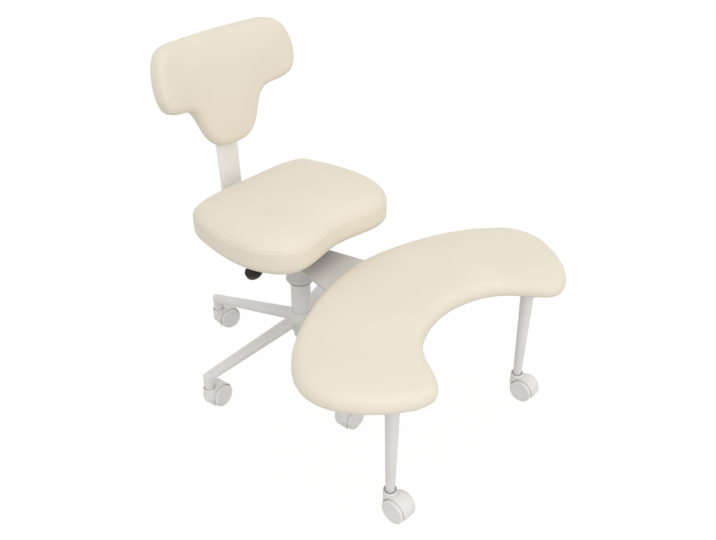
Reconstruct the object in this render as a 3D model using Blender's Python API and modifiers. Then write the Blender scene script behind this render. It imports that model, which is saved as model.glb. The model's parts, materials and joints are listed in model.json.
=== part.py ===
"""Cross-legged office chair: a swivel seat on a five-legged base, with a crescent
stool that swings round the same column on two casters of its own.

Units are metres, +Z is up, the chair faces -Y and the floor is z = 0.
Inside the chair the column's axis is x = y = 0.  The root empty then moves
everything along Y, so that the origin is under the middle of the whole chair.
"""
import math

import bmesh
import bpy
import numpy as np
from mathutils import Matrix, Vector

# Clearances
FIT = 0.0003
WHEEL_GAP = 0.0007
HOOD_GAP = 0.0012
SWING_GAP = 0.003

# Casters
WHEEL_RADIUS = 0.0285
WHEEL_WIDTH = 0.0172
WHEEL_EDGE = 0.002
WHEEL_DISH_RADIUS = 0.0215
WHEEL_DISH_DEPTH = 0.0025
WEB_WIDTH = 0.0136
HOOD_WALL = 0.0023
HOOD_WIDTH = 0.035
HOOD_SKIRT = 0.008
HOOD_FRONT_SKIRT = 0.0185
HOUSING_ABOVE_AXLE = 0.030
BOSS_RADIUS = 0.0156
BOSS_DEPTH = 0.028
AXLE_RADIUS = 0.003
TRAIL = 0.0245
STEM_RADIUS = 0.0055
STEM_IN_HOUSING = 0.020
STEM_IN_SOCKET = 0.025
STEM_COLLAR_RADIUS = 0.0095
STEM_COLLAR = 0.003

# Base
LEG_COUNT = 5
FIRST_LEG_ANGLE = 98.8
BASE_RADIUS = 0.303
SOCKET_RADIUS = 0.0125
LEG_END_HEIGHT = 0.0424
LEG_EDGE = 0.002
LEG_TIP_WIDTH = 0.026
LEG_TIP_HEIGHT = 0.023
LEG_HUB_WIDTH = 0.0365
LEG_HUB_HEIGHT = 0.032
LEG_RISE = 0.060
LEG_WALL = 0.0025
HUB_RADIUS = 0.034
HUB_LIP = 0.006
HUB_CONE = 0.0275
BASE_CASTER_YAWS = (-12.5, 4.5, -1.0, 40.0, -20.0)

# Column
COLUMN_RADIUS = 0.0255
COLUMN_WALL = 0.0025
COLUMN_TAIL = 0.016
COLUMN_TAIL_RADIUS = 0.0225
COLUMN_FLOOR = 0.004
COLUMN_FOOT_HOLE = 0.006
GUIDE_LENGTH = 0.050
GUIDE_FLANGE = 0.003
PISTON_RADIUS = 0.014
PISTON_LENGTH = 0.225
PIN_RADIUS = 0.005
PIN_LENGTH = 0.030

# Stool
STOOL_TOP = 0.3885
STOOL_THICKNESS = 0.046
STOOL_CROWN = 0.003
STOOL_CROWN_INSET = 0.038
STOOL_TOP_ROUND = 0.024
STOOL_BOTTOM_ROUND = 0.011
STOOL_WRAP = 0.022
STOOL_BOARD = 0.012
STOOL_REAR = 0.178
STOOL_HALF_WIDTH = 0.391
STOOL_SIDE_INSET = 0.030
STOOL_SHOULDER = (0.166, -0.209)
STOOL_SIDE = (STOOL_HALF_WIDTH - STOOL_SIDE_INSET, -0.324)
STOOL_TIP = (STOOL_HALF_WIDTH, -0.465)
STOOL_HORN = (0.243, -0.593)
STOOL_BAY = (0.163, -0.508)
STOOL_BAY_BEND = (0.076, -0.455)
STOOL_BAY_DEPTH = 0.443
STOOL_LEG_INSET = 0.1335
STOOL_LEG_X = STOOL_HALF_WIDTH - STOOL_LEG_INSET
STOOL_LEG_Y = -0.5045
STOOL_LEG_TOP_RADIUS = 0.0165
STOOL_LEG_FOOT_RADIUS = 0.0103
STOOL_FLANGE_RADIUS = 0.028
STOOL_FLANGE = 0.004
STOOL_CASTER_YAWS = (-92.0, -88.5)
ARM_PLATE = 0.008
ARM_ROUND = 0.048
ARM_NECK = (0.056, -0.045)
ARM_WAIST = (0.080, -0.160)
ARM_SPREAD = (0.150, -0.290)
ARM_FRONT = 0.370
COLLAR_RADIUS = 0.037
COLLAR_LENGTH = 0.080
COLLAR_EDGE = 0.004
BUSH_WALL = 0.003
BUSH_FLANGE = 0.002

# Seat
SEAT_THICKNESS = 0.093
SEAT_CROWN = 0.004
SEAT_CROWN_INSET = 0.050
SEAT_TOP_ROUND = 0.033
SEAT_BOTTOM_ROUND = 0.024
SEAT_WRAP = 0.034
SEAT_BOARD = 0.012
SEAT_BOARD_PROUD = 0.003
SEAT_REAR = 0.188
SEAT_REAR_CORNER = (0.173, 0.174)
SEAT_SIDE_REAR = (0.206, 0.112)
SEAT_SIDE_FRONT = (0.218, -0.047)
SEAT_FRONT_CORNER = (0.164, -0.143)
SEAT_HORN = (0.091, -0.149)
SEAT_BAY = 0.1355
MECHANISM_WIDTH = 0.130
MECHANISM_FRONT = 0.075
MECHANISM_REAR = 0.085
MECHANISM_HEIGHT = 0.037
MECHANISM_WALL = 0.003
MECHANISM_RIM = 0.015
MECHANISM_SIDE_RIM = 0.030
CONE_RADIUS = 0.021
CONE_DROP = 0.011
CONE_RISE = 0.018
CONE_GAP = 0.002

# Back
BACK_RISE = 0.223
BACK_REACH = 0.240
BACK_TILT = 10.5
BACK_BEND_RADIUS = 0.543
BACK_THICKNESS = 0.052
BACK_CROWN = 0.003
BACK_CROWN_INSET = 0.030
BACK_FRONT_ROUND = 0.020
BACK_REAR_ROUND = 0.010
BACK_WRAP = 0.017
BACK_BOARD = 0.010
BACK_TOP = 0.124
BACK_CREST = (0.117, 0.124)
BACK_SHOULDER = (0.189, 0.103)
BACK_ELBOW = (0.194, -0.014)
BACK_ARMPIT = (0.117, -0.036)
BACK_WAIST = (0.084, -0.087)
BACK_LOBE = (0.052, -0.136)
BACK_FOOT = 0.148
POST_WIDTH = 0.064
POST_THICKNESS = 0.008
POST_INNER_END = 0.040
POST_BEND_Y = 0.234
POST_BEND_RADIUS = 0.040
POST_KNEE_BELOW = 0.165
POST_KNEE_RADIUS = 0.120
POST_ABOVE_CENTRE = 0.040

# Lever
LEVER_RADIUS = 0.0035
LEVER_SLACK = 0.0006
LEVER_DEPTH = 0.0108
LEVER_TIP = 0.004
LEVER_ELBOW = 0.074
LEVER_ELBOW_RADIUS = 0.012
LEVER_DROOP = 23.5
LEVER_ROD = 0.058
LEVER_ENGAGE = 0.014
PADDLE_LENGTH = 0.064
PADDLE_WIDTH = 0.042
PADDLE_ROOT_WIDTH = 0.028
PADDLE_THICKNESS = 0.010

# Facets of round pieces
WHEEL_SIDES = 20
ROUND_SIDES = 24
LEG_SIDES = 16
SMALL_SIDES = 10
SPAN_STEPS = 4
ARC_STEPS = 8
BOTTOM_ROUND_STEPS = 2
TOP_ROUND_STEPS = 3
BEND_CUTS = 14
CREASE_ANGLE = 35
SOFT_CREASE_ANGLE = 50
WELD = 0.00001

# Levels above the floor, worked out from the sizes above
AXLE_Z = WHEEL_RADIUS
HOUSING_TOP = AXLE_Z + HOUSING_ABOVE_AXLE
SOCKET_Z = HOUSING_TOP + STEM_COLLAR + 2 * FIT
LEG_TOP_AT_TIP = SOCKET_Z + LEG_END_HEIGHT
LEG_TOP_AT_HUB = LEG_TOP_AT_TIP + LEG_RISE
HUB_TOP = LEG_TOP_AT_HUB + HUB_LIP
HUB_BOTTOM = LEG_TOP_AT_HUB - LEG_HUB_HEIGHT - HUB_CONE
STOOL_BOTTOM = STOOL_TOP - STOOL_THICKNESS
PLATE_TOP = STOOL_BOTTOM - FIT
PLATE_BOTTOM = PLATE_TOP - ARM_PLATE
COLLAR_BOTTOM = PLATE_TOP - COLLAR_LENGTH
POST_BOTTOM = STOOL_TOP + SWING_GAP
POST_TOP = POST_BOTTOM + POST_THICKNESS
MECHANISM_TOP = POST_TOP + FIT + MECHANISM_WALL
MECHANISM_BOTTOM = MECHANISM_TOP - MECHANISM_HEIGHT
CONE_BOTTOM = MECHANISM_BOTTOM - CONE_DROP
CONE_TOP = MECHANISM_BOTTOM + CONE_RISE
COLUMN_TOP = CONE_BOTTOM - CONE_GAP - GUIDE_FLANGE - FIT
COLUMN_BOTTOM = HUB_BOTTOM - COLUMN_TAIL
SEAT_BOARD_BOTTOM = MECHANISM_TOP + FIT
SEAT_BOTTOM = SEAT_BOARD_BOTTOM + SEAT_BOARD_PROUD
SEAT_TOP = SEAT_BOTTOM + SEAT_THICKNESS
BACK_Z = SEAT_TOP + BACK_RISE
LEVER_Z = MECHANISM_TOP - LEVER_DEPTH
LEVER_PIVOT_X = -(MECHANISM_WIDTH - MECHANISM_WALL) / 2
PIN_TOP = LEVER_Z - LEVER_RADIUS - FIT

PARTS = "cross_legged_chair"
WORKSHOP = "workshop"


def collection(name):
    group = bpy.data.collections.new(name)
    bpy.context.scene.collection.children.link(group)
    return group


def clear_scene():
    for item in list(bpy.data.objects):
        bpy.data.objects.remove(item)
    for name in (PARTS, WORKSHOP):
        collection(name)


def material(name, colour, roughness, metallic=0.0):
    finish = bpy.data.materials.new(name)
    finish.use_nodes = True
    shader = finish.node_tree.nodes["Principled BSDF"]
    shader.inputs["Base Color"].default_value = (*colour, 1.0)
    shader.inputs["Roughness"].default_value = roughness
    shader.inputs["Metallic"].default_value = metallic
    return finish


def empty(name, location=(0, 0, 0), rotation_z=0.0, parent=None):
    marker = bpy.data.objects.new(name, None)
    bpy.data.collections[PARTS].objects.link(marker)
    marker.location = location
    marker.rotation_euler.z = math.radians(rotation_z)
    marker.parent = parent
    return marker


def part(name, mesh, finish, parent, location=(0, 0, 0), rotation=(0, 0, 0)):
    """One sub-part of the chair, under the empty that it moves with."""
    item = bpy.data.objects.new(name, mesh)
    bpy.data.collections[PARTS].objects.link(item)
    if not mesh.materials:
        mesh.materials.append(finish)
    item.parent = parent
    item.location = location
    item.rotation_euler = [math.radians(angle) for angle in rotation]
    return item


def smoothed(mesh, angle=CREASE_ANGLE):
    mesh.shade_smooth()
    mesh.set_sharp_from_angle(angle=math.radians(angle))
    return mesh


def evaluated(item):
    """The mesh of an object with its modifiers, welded; the object goes."""
    bpy.context.view_layer.update()
    graph = bpy.context.evaluated_depsgraph_get()
    mesh = bpy.data.meshes.new_from_object(item.evaluated_get(graph))
    bpy.data.objects.remove(item)
    shape = bmesh.new()
    shape.from_mesh(mesh)
    bmesh.ops.remove_doubles(shape, verts=shape.verts, dist=WELD)
    shape.to_mesh(mesh)
    shape.free()
    return mesh


def on_bench(name, data):
    item = bpy.data.objects.new(name, data)
    item.hide_render = True
    item.display_type = "WIRE"
    bpy.data.collections[WORKSHOP].objects.link(item)
    return item


def from_bmesh(shape, transform=None):
    if transform:
        bmesh.ops.transform(shape, matrix=transform, verts=shape.verts)
    bmesh.ops.recalc_face_normals(shape, faces=shape.faces)
    mesh = bpy.data.meshes.new("shape")
    shape.to_mesh(mesh)
    shape.free()
    return mesh


def shaped(mesh, *steps):
    """The mesh after Boolean steps, each an operation and the mesh it uses."""
    blank = on_bench("blank", mesh)
    tools = []
    for operation, tool_mesh in steps:
        tool = on_bench("tool", tool_mesh)
        cut = blank.modifiers.new(operation, "BOOLEAN")
        cut.operation = operation
        cut.solver = "EXACT"
        cut.object = tool
        tools.append(tool)
    result = evaluated(blank)
    for tool in tools:
        bpy.data.objects.remove(tool)
    return result


def bevelled(mesh, width, segments=2, angle=40):
    blank = on_bench("blank", mesh)
    edge = blank.modifiers.new("edge", "BEVEL")
    edge.width = width
    edge.segments = segments
    edge.limit_method = "ANGLE"
    edge.angle_limit = math.radians(angle)
    return evaluated(blank)


def block(low, high):
    shape = bmesh.new()
    bmesh.ops.create_cube(shape, size=1.0)
    low = Vector(low)
    high = Vector(high)
    scale = Matrix.Diagonal((*(high - low), 1.0))
    return from_bmesh(shape, Matrix.Translation((low + high) / 2) @ scale)


def drum(radius, low, high, sides=ROUND_SIDES, centre=(0, 0), turn=None):
    """A round bar along Z between two levels, turned afterwards if asked."""
    shape = bmesh.new()
    bmesh.ops.create_cone(
        shape, cap_ends=True, segments=sides, radius1=radius, radius2=radius, depth=high - low
    )
    place = Matrix.Translation((*centre, (low + high) / 2))
    return from_bmesh(shape, turn @ place if turn else place)


def turned(profile, sides=ROUND_SIDES, closed=False):
    """A solid of revolution: the profile of (radius, z) runs down its outer side."""
    shape = bmesh.new()
    points = [shape.verts.new((radius, 0, z)) for radius, z in profile]
    ends = points[1:] + points[:1] if closed else points[1:]
    for start, end in zip(points, ends):
        shape.edges.new((start, end))
    mesh = bpy.data.meshes.new("profile")
    shape.to_mesh(mesh)
    shape.free()
    lathe = on_bench("lathe", mesh)
    screw = lathe.modifiers.new("screw", "SCREW")
    screw.steps = sides
    screw.render_steps = sides
    screw.use_merge_vertices = True
    screw.merge_threshold = WELD
    return evaluated(lathe)


def slab(outline, low, high):
    """A flat outline in XY with square edges, between two levels."""
    curve = bpy.data.curves.new("outline", "CURVE")
    curve.dimensions = "2D"
    curve.fill_mode = "BOTH"
    curve.extrude = (high - low) / 2
    spline = curve.splines.new("POLY")
    spline.points.add(len(outline) - 1)
    for point, (x, y) in zip(spline.points, outline):
        point.co = (x, y, 0, 1)
    spline.use_cyclic_u = True
    mesh = evaluated(on_bench("outline", curve))
    mesh.transform(Matrix.Translation((0, 0, (low + high) / 2)))
    return mesh


def rod(points, radius):
    """A round rod along a line of points, with flat ends."""
    curve = bpy.data.curves.new("rod", "CURVE")
    curve.dimensions = "3D"
    curve.bevel_depth = radius
    curve.bevel_resolution = 2
    curve.use_fill_caps = True
    spline = curve.splines.new("POLY")
    spline.points.add(len(points) - 1)
    for point, place in zip(spline.points, points):
        point.co = (*place, 1)
    return evaluated(on_bench("rod", curve))


def bore(radius, sides=ROUND_SIDES):
    """Corner radius of a faceted hole whose flats clear a round bar of this radius."""
    return (radius + FIT) / math.cos(math.pi / sides)


def mirrored(half):
    """A closed outline from the points of its right half, first and last on x = 0."""
    return half + [(-x, y) for x, y in half[-2:0:-1]]


def smooth_loop(points, steps=SPAN_STEPS):
    """A closed cubic spline through the points, sampled evenly in each span."""
    places = np.array(points)
    count = len(places)
    ahead = np.roll(places, -1, axis=0) - places
    spans = np.sqrt(np.linalg.norm(ahead, axis=1))
    before = np.roll(spans, 1)
    slopes = ahead / spans[:, None]
    system = np.diag(2 * (spans + before))
    for i in range(count):
        system[i, i - 1] += before[i]
        system[i, (i + 1) % count] += spans[i]
    bends = np.linalg.solve(system, 6 * (slopes - np.roll(slopes, 1, axis=0)))
    loop = []
    for i in range(count):
        j = (i + 1) % count
        for k in range(steps):
            t = k / steps
            u = 1 - t
            bow = ((u**3 - u) * bends[i] + (t**3 - t) * bends[j]) * spans[i] ** 2 / 6
            loop.append(Vector(u * places[i] + t * places[j] + bow))
    return loop


def inset(loop, distance):
    """The loop moved inwards along its own normals."""
    count = len(loop)
    area = sum(loop[i - 1].cross(loop[i]) for i in range(count))
    side = distance if area > 0 else -distance
    moved = []
    for i in range(count):
        along = (loop[(i + 1) % count] - loop[i - 1]).normalized()
        moved.append(loop[i] + Vector((-along.y, along.x)) * side)
    return moved


def quarter(start, end, steps):
    """A quarter ellipse of (inset, height), upright where the inset is least."""
    wide = end[0] - start[0]
    tall = end[1] - start[1]
    points = []
    for k in range(steps + 1):
        rise = math.sin(math.pi / 2 * k / steps)
        lag = 1 - math.cos(math.pi / 2 * k / steps)
        if wide > 0:
            points.append((start[0] + wide * lag, start[1] + tall * rise))
        else:
            points.append((start[0] + wide * rise, start[1] + tall * lag))
    return points


def cushion(outline, thickness, wrap, recess, bottom_round, top_round, crown, crown_inset):
    """A padded form over a board: sides drawn in below, rounded above, crowned on top.

    Each step of its section is a pair of inset from the outline and height.
    """
    shoulder = thickness - crown
    section = [(wrap, recess), (wrap, 0)]
    section += quarter((bottom_round, 0), (0, bottom_round), BOTTOM_ROUND_STEPS)
    section += quarter((0, shoulder - top_round), (top_round, shoulder), TOP_ROUND_STEPS)
    section.append((crown_inset, thickness))
    shape = bmesh.new()
    rings = []
    for distance, height in section:
        rings.append([shape.verts.new((p.x, p.y, height)) for p in inset(outline, distance)])
    count = len(outline)
    for low, high in zip(rings, rings[1:]):
        for i in range(count):
            j = (i + 1) % count
            shape.faces.new((low[i], low[j], high[j], high[i]))
    shape.faces.new(rings[0])
    shape.faces.new(rings[-1])
    return from_bmesh(shape)


def filleted(points, radii, steps=6):
    """A line through the points in a plane, with each inner corner rounded."""
    line = [Vector(points[0])]
    for i, radius in enumerate(radii, start=1):
        corner = Vector(points[i])
        back = (Vector(points[i - 1]) - corner).normalized()
        ahead = (Vector(points[i + 1]) - corner).normalized()
        half = back.angle(ahead) / 2
        centre = corner + (back + ahead).normalized() * (radius / math.sin(half))
        first = corner + back * (radius / math.tan(half)) - centre
        last = corner + ahead * (radius / math.tan(half)) - centre
        sweep = first.angle_signed(last)
        for k in range(steps + 1):
            turn = Matrix.Rotation(-sweep * k / steps, 2)
            line.append(centre + turn @ first)
    line.append(Vector(points[-1]))
    return line


def thickened(line, thickness):
    """The closed outline of a strip of even thickness along a line in a plane."""
    left = []
    right = []
    for i, point in enumerate(line):
        along = line[min(i + 1, len(line) - 1)] - line[max(i - 1, 0)]
        across = Vector((-along.y, along.x)).normalized() * (thickness / 2)
        left.append(point + across)
        right.append(point - across)
    return [tuple(point) for point in left + right[::-1]]


def wheel_mesh():
    """One wheel, its inner face at z = 0; flats touch the floor at the wheel's radius."""
    rim = WHEEL_RADIUS / math.cos(math.pi / WHEEL_SIDES)
    hole = bore(AXLE_RADIUS, WHEEL_SIDES)
    floor = WHEEL_WIDTH - WHEEL_DISH_DEPTH
    profile = [
        (hole, floor),
        (WHEEL_DISH_RADIUS - WHEEL_DISH_DEPTH, floor),
        (WHEEL_DISH_RADIUS, WHEEL_WIDTH),
        (rim - WHEEL_EDGE, WHEEL_WIDTH),
        (rim, WHEEL_WIDTH - WHEEL_EDGE),
        (rim, 0),
        (hole, 0),
    ]
    mesh = turned(profile, WHEEL_SIDES, closed=True)
    mesh.transform(Matrix.Rotation(math.pi / WHEEL_SIDES, 4, "Z"))
    return smoothed(mesh)


def along_axle():
    """Turns a round bar from Z to the axle's direction, at the axle."""
    return Matrix.Translation((TRAIL, 0, AXLE_Z)) @ Matrix.Rotation(math.pi / 2, 4, "X")


def housing_mesh():
    """Hood and web of a caster, with its swivel axis at x = y = 0 and the axle at +X."""
    hood_radius = WHEEL_RADIUS + HOOD_GAP + HOOD_WALL
    room = (WHEEL_RADIUS + HOOD_GAP) / math.cos(math.pi / WHEEL_SIDES)
    reach = HOOD_WIDTH
    half_web = WEB_WIDTH / 2
    axle = along_axle()
    body = drum(hood_radius, -HOOD_WIDTH / 2, HOOD_WIDTH / 2, WHEEL_SIDES, turn=axle)
    boss = drum(BOSS_RADIUS, HOUSING_TOP - BOSS_DEPTH, HOUSING_TOP, LEG_SIDES)
    below = block((-reach, -reach, -AXLE_Z), (TRAIL + 2 * reach, reach, AXLE_Z - HOOD_FRONT_SKIRT))
    behind = block((TRAIL, -reach, -AXLE_Z), (TRAIL + 2 * reach, reach, AXLE_Z - HOOD_SKIRT))
    return smoothed(
        shaped(
            body,
            ("UNION", boss),
            ("DIFFERENCE", drum(room, half_web, reach, WHEEL_SIDES, turn=axle)),
            ("DIFFERENCE", drum(room, -reach, -half_web, WHEEL_SIDES, turn=axle)),
            ("DIFFERENCE", below),
            ("DIFFERENCE", behind),
            ("DIFFERENCE", drum(bore(AXLE_RADIUS, SMALL_SIDES), -reach, reach, SMALL_SIDES, turn=axle)),
            ("DIFFERENCE", stem_hole(HOUSING_TOP - STEM_IN_HOUSING, HOUSING_TOP + STEM_COLLAR)),
        )
    )


def stem_hole(low, high):
    return drum(bore(STEM_RADIUS, SMALL_SIDES), low - FIT, high + FIT, SMALL_SIDES)


def stem_mesh():
    """Swivel stem with the collar that the leg's socket stands on."""
    top = SOCKET_Z + STEM_IN_SOCKET
    collar = HOUSING_TOP + FIT
    profile = [
        (0, top),
        (STEM_RADIUS, top),
        (STEM_RADIUS, collar + STEM_COLLAR),
        (STEM_COLLAR_RADIUS, collar + STEM_COLLAR),
        (STEM_COLLAR_RADIUS, collar),
        (STEM_RADIUS, collar),
        (STEM_RADIUS, HOUSING_TOP - STEM_IN_HOUSING),
        (0, HOUSING_TOP - STEM_IN_HOUSING),
    ]
    return smoothed(turned(profile, SMALL_SIDES))


def axle_mesh():
    half = WEB_WIDTH / 2 + WHEEL_GAP + WHEEL_WIDTH - WHEEL_DISH_DEPTH
    return smoothed(drum(AXLE_RADIUS, -half, half, SMALL_SIDES))


def caster_meshes():
    return {
        "housing": housing_mesh(),
        "stem": stem_mesh(),
        "axle": axle_mesh(),
        "wheel": wheel_mesh(),
    }


def add_caster(number, place, yaw, meshes, finishes, parent):
    """A twin-wheel caster; its empty stands on the swivel axis, +X the way it trails."""
    name = f"caster_{number}"
    swivel = empty(f"{name}_swivel", (*place, 0), yaw, parent)
    part(f"{name}_housing", meshes["housing"], finishes["caster"], swivel)
    part(f"{name}_stem", meshes["stem"], finishes["steel"], swivel)
    axle = empty(f"{name}_roll", (TRAIL, 0, AXLE_Z), 0, swivel)
    part(f"{name}_axle", meshes["axle"], finishes["steel"], axle, rotation=(90, 0, 0))
    inner = WEB_WIDTH / 2 + WHEEL_GAP
    for side, turn in (("left", -90), ("right", 90)):
        offset = inner if side == "left" else -inner
        part(
            f"{name}_wheel_{side}",
            meshes["wheel"],
            finishes["caster"],
            axle,
            (0, offset, 0),
            (turn, 0, 0),
        )


def between(start, end, share):
    return start + (end - start) * share


def leg_bar(end, wall):
    """A tapered oval bar along +X from the column's axis, a wall's depth inside the leg's skin."""
    shape = bmesh.new()
    bmesh.ops.create_cone(shape, cap_ends=True, segments=LEG_SIDES, radius1=1, radius2=1, depth=1)
    for vert in shape.verts:
        along = end if vert.co.z > 0 else 0
        share = along / BASE_RADIUS
        width = between(LEG_HUB_WIDTH, LEG_TIP_WIDTH, share)
        height = between(LEG_HUB_HEIGHT, LEG_TIP_HEIGHT, share)
        level = between(LEG_TOP_AT_HUB, LEG_TOP_AT_TIP, share) - height / 2
        side = vert.co.y * (width / 2 - wall)
        vert.co = (along, side, level + vert.co.x * (height / 2 - wall))
    return from_bmesh(shape)


def base_leg_mesh():
    """A tapered oval tube along +X whose upright round end is the caster's socket."""
    tip = BASE_RADIUS - SOCKET_RADIUS
    beam = bevelled(leg_bar(BASE_RADIUS, 0), LEG_EDGE, 1)
    beyond = block((tip, -LEG_TIP_WIDTH, SOCKET_Z), (BASE_RADIUS + FIT, LEG_TIP_WIDTH, LEG_TOP_AT_HUB))
    end = drum(SOCKET_RADIUS, SOCKET_Z - FIT, LEG_TOP_AT_HUB + FIT, LEG_SIDES, (tip, 0))
    corners = shaped(beyond, ("DIFFERENCE", end))
    hollow = leg_bar(tip - SOCKET_RADIUS, LEG_WALL)
    socket = drum(SOCKET_RADIUS, SOCKET_Z, LEG_TOP_AT_TIP - LEG_TIP_HEIGHT / 2, LEG_SIDES, (tip, 0))
    hole = drum(
        bore(STEM_RADIUS, SMALL_SIDES),
        SOCKET_Z - FIT,
        SOCKET_Z + STEM_IN_SOCKET + FIT,
        SMALL_SIDES,
        (tip, 0),
    )
    around_hub = drum(bore(HUB_RADIUS), HUB_BOTTOM - HUB_CONE, HUB_TOP + HUB_LIP)
    return smoothed(
        shaped(
            beam,
            ("DIFFERENCE", corners),
            ("UNION", socket),
            ("DIFFERENCE", hole),
            ("DIFFERENCE", hollow),
            ("DIFFERENCE", around_hub),
        )
    )


def hub_mesh():
    hole = bore(COLUMN_RADIUS)
    cone_top = LEG_TOP_AT_HUB - LEG_HUB_HEIGHT
    lip = HUB_RADIUS - (HUB_RADIUS - hole) / 2
    foot = hole + (HUB_RADIUS - hole) / 4
    profile = [
        (hole, HUB_TOP),
        (lip, HUB_TOP),
        (HUB_RADIUS, LEG_TOP_AT_HUB),
        (HUB_RADIUS, cone_top),
        (foot, HUB_BOTTOM),
        (hole, HUB_BOTTOM),
    ]
    return smoothed(turned(profile, closed=True))


def column_mesh():
    """Outer tube of the gas column, drawn in at the foot that passes through the hub."""
    inside = COLUMN_RADIUS - COLUMN_WALL
    tail_inside = COLUMN_TAIL_RADIUS - COLUMN_WALL
    floor = COLUMN_BOTTOM + COLUMN_FLOOR
    profile = [
        (inside, COLUMN_TOP),
        (COLUMN_RADIUS, COLUMN_TOP),
        (COLUMN_RADIUS, HUB_BOTTOM),
        (COLUMN_TAIL_RADIUS, HUB_BOTTOM - COLUMN_WALL),
        (COLUMN_TAIL_RADIUS, COLUMN_BOTTOM),
        (COLUMN_FOOT_HOLE, COLUMN_BOTTOM),
        (COLUMN_FOOT_HOLE, floor),
        (tail_inside, floor),
        (tail_inside, HUB_BOTTOM),
        (inside, HUB_BOTTOM + COLUMN_WALL),
    ]
    return smoothed(turned(profile, closed=True))


def guide_mesh():
    """Plastic bush that guides the sliding tube, with a flange on the column's rim."""
    outer = COLUMN_RADIUS - COLUMN_WALL - 2 * FIT
    hole = bore(PISTON_RADIUS)
    ledge = COLUMN_TOP + FIT
    profile = [
        (hole, ledge + GUIDE_FLANGE),
        (COLUMN_RADIUS, ledge + GUIDE_FLANGE),
        (COLUMN_RADIUS, ledge),
        (outer, ledge),
        (outer, COLUMN_TOP - GUIDE_LENGTH),
        (hole, COLUMN_TOP - GUIDE_LENGTH),
    ]
    return smoothed(turned(profile, closed=True))


def piston_mesh():
    """Sliding tube of the gas column, with the release pin's well in its top."""
    well = bore(PIN_RADIUS, ROUND_SIDES)
    well_floor = PIN_TOP - PIN_LENGTH - 2 * PIN_RADIUS
    foot = CONE_TOP - PISTON_LENGTH
    profile = [
        (0, well_floor),
        (well, well_floor),
        (well, CONE_TOP),
        (PISTON_RADIUS, CONE_TOP),
        (PISTON_RADIUS, foot),
        (0, foot),
    ]
    return smoothed(turned(profile))


def release_pin_mesh():
    return smoothed(drum(PIN_RADIUS, PIN_TOP - PIN_LENGTH, PIN_TOP, SMALL_SIDES))


def collar_mesh():
    hole = bore(COLUMN_RADIUS + FIT + BUSH_WALL)
    profile = [
        (hole, PLATE_TOP),
        (COLLAR_RADIUS, PLATE_TOP),
        (COLLAR_RADIUS, COLLAR_BOTTOM + COLLAR_EDGE),
        (COLLAR_RADIUS - COLLAR_EDGE / 4, COLLAR_BOTTOM + COLLAR_EDGE / 4),
        (COLLAR_RADIUS - COLLAR_EDGE, COLLAR_BOTTOM),
        (hole, COLLAR_BOTTOM),
    ]
    return smoothed(turned(profile, closed=True))


def bush_mesh():
    """Sleeve between collar and column, with a flange under the collar."""
    hole = bore(COLUMN_RADIUS)
    outer = COLUMN_RADIUS + FIT + BUSH_WALL
    ledge = COLLAR_BOTTOM - FIT
    profile = [
        (hole, PLATE_TOP),
        (outer, PLATE_TOP),
        (outer, ledge),
        (COLLAR_RADIUS - COLLAR_EDGE, ledge),
        (COLLAR_RADIUS - COLLAR_EDGE, ledge - BUSH_FLANGE),
        (hole, ledge - BUSH_FLANGE),
    ]
    return smoothed(turned(profile, closed=True))


def arm_plate_mesh():
    """Plate from the collar to the platform, round behind and spreading to the front."""
    start = math.atan2(ARM_NECK[1], ARM_NECK[0])
    arc = []
    for k in range(ARC_STEPS + 1):
        angle = math.pi / 2 + (start - math.pi / 2) * k / ARC_STEPS
        grow = ARM_ROUND + (math.hypot(*ARM_NECK) - ARM_ROUND) * (k / ARC_STEPS) ** 2
        arc.append((grow * math.cos(angle), grow * math.sin(angle)))
    half = arc + [ARM_WAIST, ARM_SPREAD, (ARM_SPREAD[0], -ARM_FRONT)]
    outline = half + [(-x, y) for x, y in half[:0:-1]]
    plate = slab(outline, PLATE_BOTTOM, PLATE_TOP)
    hole = drum(bore(COLLAR_RADIUS), PLATE_BOTTOM - FIT, PLATE_TOP + FIT)
    return shaped(plate, ("DIFFERENCE", hole))


def stool_outline():
    half = [
        (0, -STOOL_REAR),
        STOOL_SHOULDER,
        STOOL_SIDE,
        STOOL_TIP,
        STOOL_HORN,
        STOOL_BAY,
        STOOL_BAY_BEND,
        (0, -STOOL_BAY_DEPTH),
    ]
    return smooth_loop(mirrored(half))


def stool_board_mesh():
    outline = inset(stool_outline(), STOOL_WRAP + FIT)
    return slab(outline, STOOL_BOTTOM, STOOL_BOTTOM + STOOL_BOARD)


def stool_cushion_mesh():
    mesh = cushion(
        stool_outline(),
        STOOL_THICKNESS,
        STOOL_WRAP,
        STOOL_BOARD + FIT,
        STOOL_BOTTOM_ROUND,
        STOOL_TOP_ROUND,
        STOOL_CROWN,
        STOOL_CROWN_INSET,
    )
    mesh.transform(Matrix.Translation((0, 0, STOOL_BOTTOM)))
    return smoothed(mesh, SOFT_CREASE_ANGLE)


def stool_leg_mesh():
    """Tapered tube with its mounting flange under the board and the caster's socket."""
    hole = bore(STEM_RADIUS, LEG_SIDES)
    flange_low = PLATE_TOP - STOOL_FLANGE
    plug = SOCKET_Z + STEM_IN_SOCKET + FIT + 2 * LEG_WALL
    share = (plug - SOCKET_Z) / (flange_low - SOCKET_Z)
    profile = [
        (0, plug),
        (between(STOOL_LEG_FOOT_RADIUS, STOOL_LEG_TOP_RADIUS, share) - LEG_WALL, plug),
        (STOOL_LEG_TOP_RADIUS - LEG_WALL, PLATE_TOP),
        (STOOL_FLANGE_RADIUS, PLATE_TOP),
        (STOOL_FLANGE_RADIUS, flange_low),
        (STOOL_LEG_TOP_RADIUS, flange_low),
        (STOOL_LEG_FOOT_RADIUS, SOCKET_Z),
        (hole, SOCKET_Z),
        (hole, SOCKET_Z + STEM_IN_SOCKET + FIT),
        (0, SOCKET_Z + STEM_IN_SOCKET + FIT),
    ]
    return smoothed(turned(profile, LEG_SIDES))


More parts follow.
